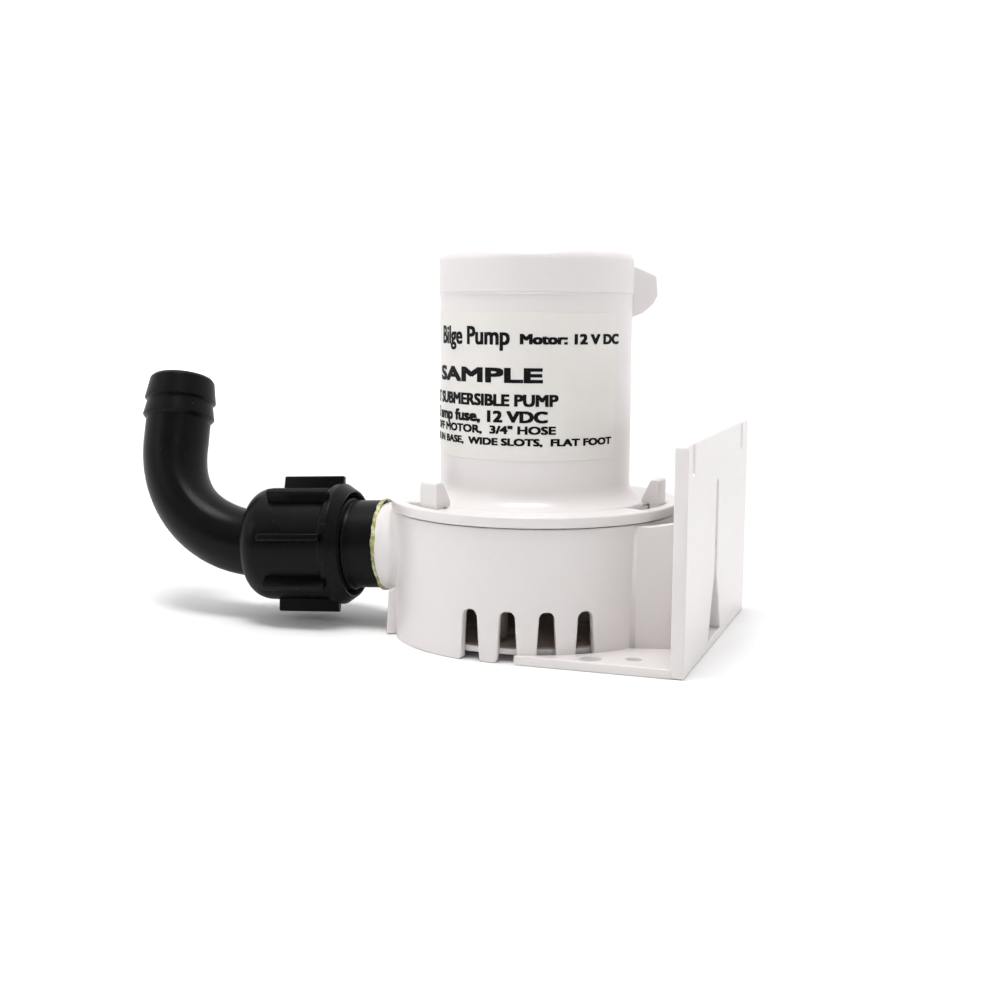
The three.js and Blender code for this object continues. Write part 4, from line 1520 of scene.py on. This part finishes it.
@dataclass
class Label:
    """Film round the motor with a few generic words."""

    radius: float = 26.12
    film: float = 0.05
    low: float = 50.5
    high: float = 88.6
    start: float = -210.0
    sweep: float = 190.0
    corner: float = 1.5
    front: float = -72.45
    strip: float = 0.7
    strikes: tuple = ((-0.5, -0.3), (0.5, -0.3), (0, 0), (-0.5, 0.3), (0.5, 0.3))
    rows: tuple = (
        Row("Bilge Pump", -70.5, -15.3, 80.4, 4.6, 0.42),
        Row("Motor: 12 V DC", -8.6, 55, 80.6, 2.45, 0.5),
        Row("SAMPLE", -74, 3.2, 70.8, 3.5, 0.75),
        Row("12 VOLT SUBMERSIBLE PUMP", -112, 12.5, 64.7, 2.9, 0.46),
        Row("5 amp fuse, 12 VDC", -84, 6.4, 60.5, 2.8, 0.52),
        Row('TWIST OFF MOTOR,  3/4" HOSE', -112, 11.3, 57.5, 1.95, 0.36),
        Row("STRAINER IN BASE,  WIDE SLOTS,  FLAT FOOT", -112, 49.2, 54.5, 1.75, 0.36),
    )

    def sheet(self) -> Form:
        """The film: at angle a its height runs between two edges that close in near both ends."""
        share = np.linspace(0, 1, 140)
        share = 0.5 - 0.5 * np.cos(math.pi * share)
        angle = np.radians(self.start + self.sweep * share)
        gap = np.minimum(share, 1 - share) * math.radians(self.sweep) * self.radius
        away = np.clip(self.corner - gap, 0, self.corner)
        cut = self.corner - np.sqrt(np.maximum(self.corner ** 2 - away ** 2, 0))
        up = np.concatenate([[0, 0.004], np.linspace(0.02, 0.98, 22), [0.996, 1]])[None, :]
        height = (self.low + cut)[:, None] + (self.high - self.low - 2 * cut)[:, None] * up
        outer = polar(self.radius + self.film, angle[:, None], height)
        inner = polar(self.radius, angle[:, None], height)
        loop = np.concatenate([outer, inner[:, ::-1]], axis=1)
        return Form().grid(loop, wrap_v=True, capped=True)

    def letters(self, row: Row) -> Form:
        """One row of words, stretched to its length and height and bent round the film.

        The flat letters are cut into narrow strips, so that they bend, and struck a few times a
        little apart, which gives them their weight.

        Args:
            row: the row.

        Returns:
            The letters.
        """
        curve = bpy.data.curves.new("words", "FONT")
        curve.body, curve.extrude, curve.resolution_u = row.words, 0.01, 3
        holder = bpy.data.objects.new("words", curve)
        bpy.context.collection.objects.link(holder)
        bpy.context.view_layer.update()
        graph = bpy.context.evaluated_depsgraph_get()
        flat = bpy.data.meshes.new_from_object(holder.evaluated_get(graph))
        work = bmesh.new()
        work.from_mesh(flat)
        left, right = min(v.co.x for v in work.verts), max(v.co.x for v in work.verts)
        length = math.radians(row.stop - row.start) * self.radius
        for cut in np.linspace(left, right, int(length / self.strip))[1:-1]:
            parts = work.verts[:] + work.edges[:] + work.faces[:]
            bmesh.ops.bisect_plane(work, geom=parts, plane_co=(cut, 0, 0), plane_no=(1, 0, 0))
        points = np.array([v.co[:] for v in work.verts])
        work.verts.index_update()
        faces = [[v.index for v in f.verts] for f in work.faces]
        work.free()
        bpy.data.objects.remove(holder)
        cap_height, lift, thickness, layer = 0.70, 0.03, 2, 0.003
        share = (points[:, 0] - left) / (right - left)
        angle = np.radians(self.front + row.start) + share * length / self.radius
        outer = self.radius + self.film + lift + points[:, 2] * thickness
        height = row.baseline + points[:, 1] / cap_height * row.height
        form = Form()
        for number, (across, up) in enumerate(self.strikes):
            turn = angle + across * row.weight / self.radius
            form.add(polar(outer + layer * number, turn, height + up * row.weight), faces)
        return form

    def build(self, shop: Workshop) -> None:
        """Makes the film and its print."""
        shop.fit(self.sheet().mesh("label_sheet"), "head", Slot.LABEL, ("rating_label",))
        print_form = Form()
        for row in self.rows:
            part = self.letters(row)
            print_form.add(np.concatenate(part.points), part.faces)
        ink = shop.fit(print_form.mesh("label_print"), "head", Slot.LABEL)
        ink.data.polygons.foreach_set("use_smooth", np.zeros(len(ink.data.polygons), bool))
        ink.data.materials[0] = shop.ink


# ---- studio -----------------------------------------------------------------------------------


@dataclass
class Studio:
    """Pale floor, soft lights and the camera."""

    eye: tuple = (0.1149, -0.3633, 0.0888)
    heading: float = 19.0
    pitch: float = 7.76
    roll: float = 0.32
    lens: float = 49.86

    def camera(self) -> None:
        """Puts the camera at the front right, a little above the pump, looking slightly down."""
        data = bpy.data.cameras.new("camera")
        data.lens, data.sensor_width = self.lens, 36.0
        data.clip_start, data.clip_end = 0.01, 50.0
        made = bpy.data.objects.new("camera", data)
        bpy.context.collection.objects.link(made)
        look = Matrix.Translation(self.eye)
        for degrees, axis in ((self.heading, "Z"), (90 - self.pitch, "X"), (self.roll, "Z")):
            look = look @ Matrix.Rotation(math.radians(degrees), 4, axis)
        made.matrix_world = look
        bpy.context.scene.camera = made

    def light(self, name: str, place: Sequence[float], size: Sequence[float], power: float) -> None:
        """Adds a soft box that faces the pump.

        Args:
            name: the light's name.
            place: its place in metres.
            size: its width and height in metres.
            power: its power in watts.
        """
        data = bpy.data.lights.new(name, "AREA")
        data.shape, data.size, data.size_y, data.energy = "RECTANGLE", size[0], size[1], power
        made = bpy.data.objects.new(name, data)
        bpy.context.collection.objects.link(made)
        made.location = place
        aim = Vector((0, 0, 0.045)) - Vector(place)
        made.rotation_euler = aim.to_track_quat("-Z", "Y").to_euler()

    def world(self) -> None:
        """A bright surround that is dimmer behind the camera; the camera itself sees plain white."""
        world = bpy.data.worlds.new("surround")
        world.use_nodes = True
        bpy.context.scene.world = world
        tree = Nodes(world.node_tree)
        place = tree.node("ShaderNodeTexCoord", {}, output="Generated")
        towards_camera = {0: place, 1: (0.31, -0.92, -0.1)}
        facing = tree.node("ShaderNodeVectorMath", towards_camera, "Value", operation="DOT_PRODUCT")
        limits = {"From Min": -0.1, "From Max": 0.85, "To Min": 0.98, "To Max": 0.09}
        around = tree.node("ShaderNodeMapRange", {"Value": facing, **limits})
        seen = tree.node("ShaderNodeLightPath", {}, output="Is Camera Ray")
        level = tree.node("ShaderNodeMix", {0: seen, 2: around, 3: 1.05})
        back = tree.node("ShaderNodeBackground", {"Color": rgb(1, 1, 1), "Strength": level})
        tree.end("ShaderNodeOutputWorld", back)

    def floor(self) -> None:
        """A wide pale floor just under the feet."""
        s = Shader("studio_floor")
        tone = s.blend(s.noise(3, 2), rgb(0.92, 0.92, 0.92), rgb(0.94, 0.94, 0.94))
        x, y, _ = s.parts()
        glow = s.blend(((x * x + y * y) ** 0.5).step(0.3, 1.6), rgb(0, 0, 0), rgb(1, 1, 1))
        material = s.surface({
            "Base Color": tone, "Roughness": 0.9, "Specular IOR Level": 0.1,
            "Emission Color": glow, "Emission Strength": 0.7,
        })
        made = Form().slab([circle(6000, points=64)], -5.05, -0.05, 0).mesh("studio_floor")
        made.data.materials.append(material)

    def build(self) -> None:
        """Makes camera, surround, floor and lights."""
        self.camera()
        self.world()
        self.floor()
        self.light("left_box", (-0.85, -0.75, 0.65), (0.22, 0.5), 1.0)
        self.light("right_box", (0.75, -0.95, 0.7), (0.22, 0.5), 0.9)
        self.light("top_box", (-0.05, -0.2, 1.2), (0.6, 0.36), 8.6)
        bpy.context.scene.view_settings.view_transform = "Standard"


def corners(box: tuple) -> list[list[float]]:
    """Two corners as plain lists."""
    return [[float(v) for v in corner] for corner in box]


def main() -> None:
    """Builds the studio, then every visible piece, and dresses what keeps its CAD shape."""
    logging.basicConfig(level=logging.INFO, format="%(message)s")
    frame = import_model()
    Studio().build()
    shop = Workshop()
    line = Discharge()
    for piece in (Base(line=line), Strainer(), Tailpiece(line), CementBead(line), UnionNut(line),
                  Elbow(line), HeadShell(), HeadCap(), Label()):
        piece.build(shop)
        LOG.info("%s done", type(piece).__name__)
    replaced = {name for made in bpy.data.objects for name in made.get("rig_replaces", [])}
    shop.dress_nodes(frame["nodes"], replaced, frame["record"]["subparts"])


if __name__ == "__main__":
    main()
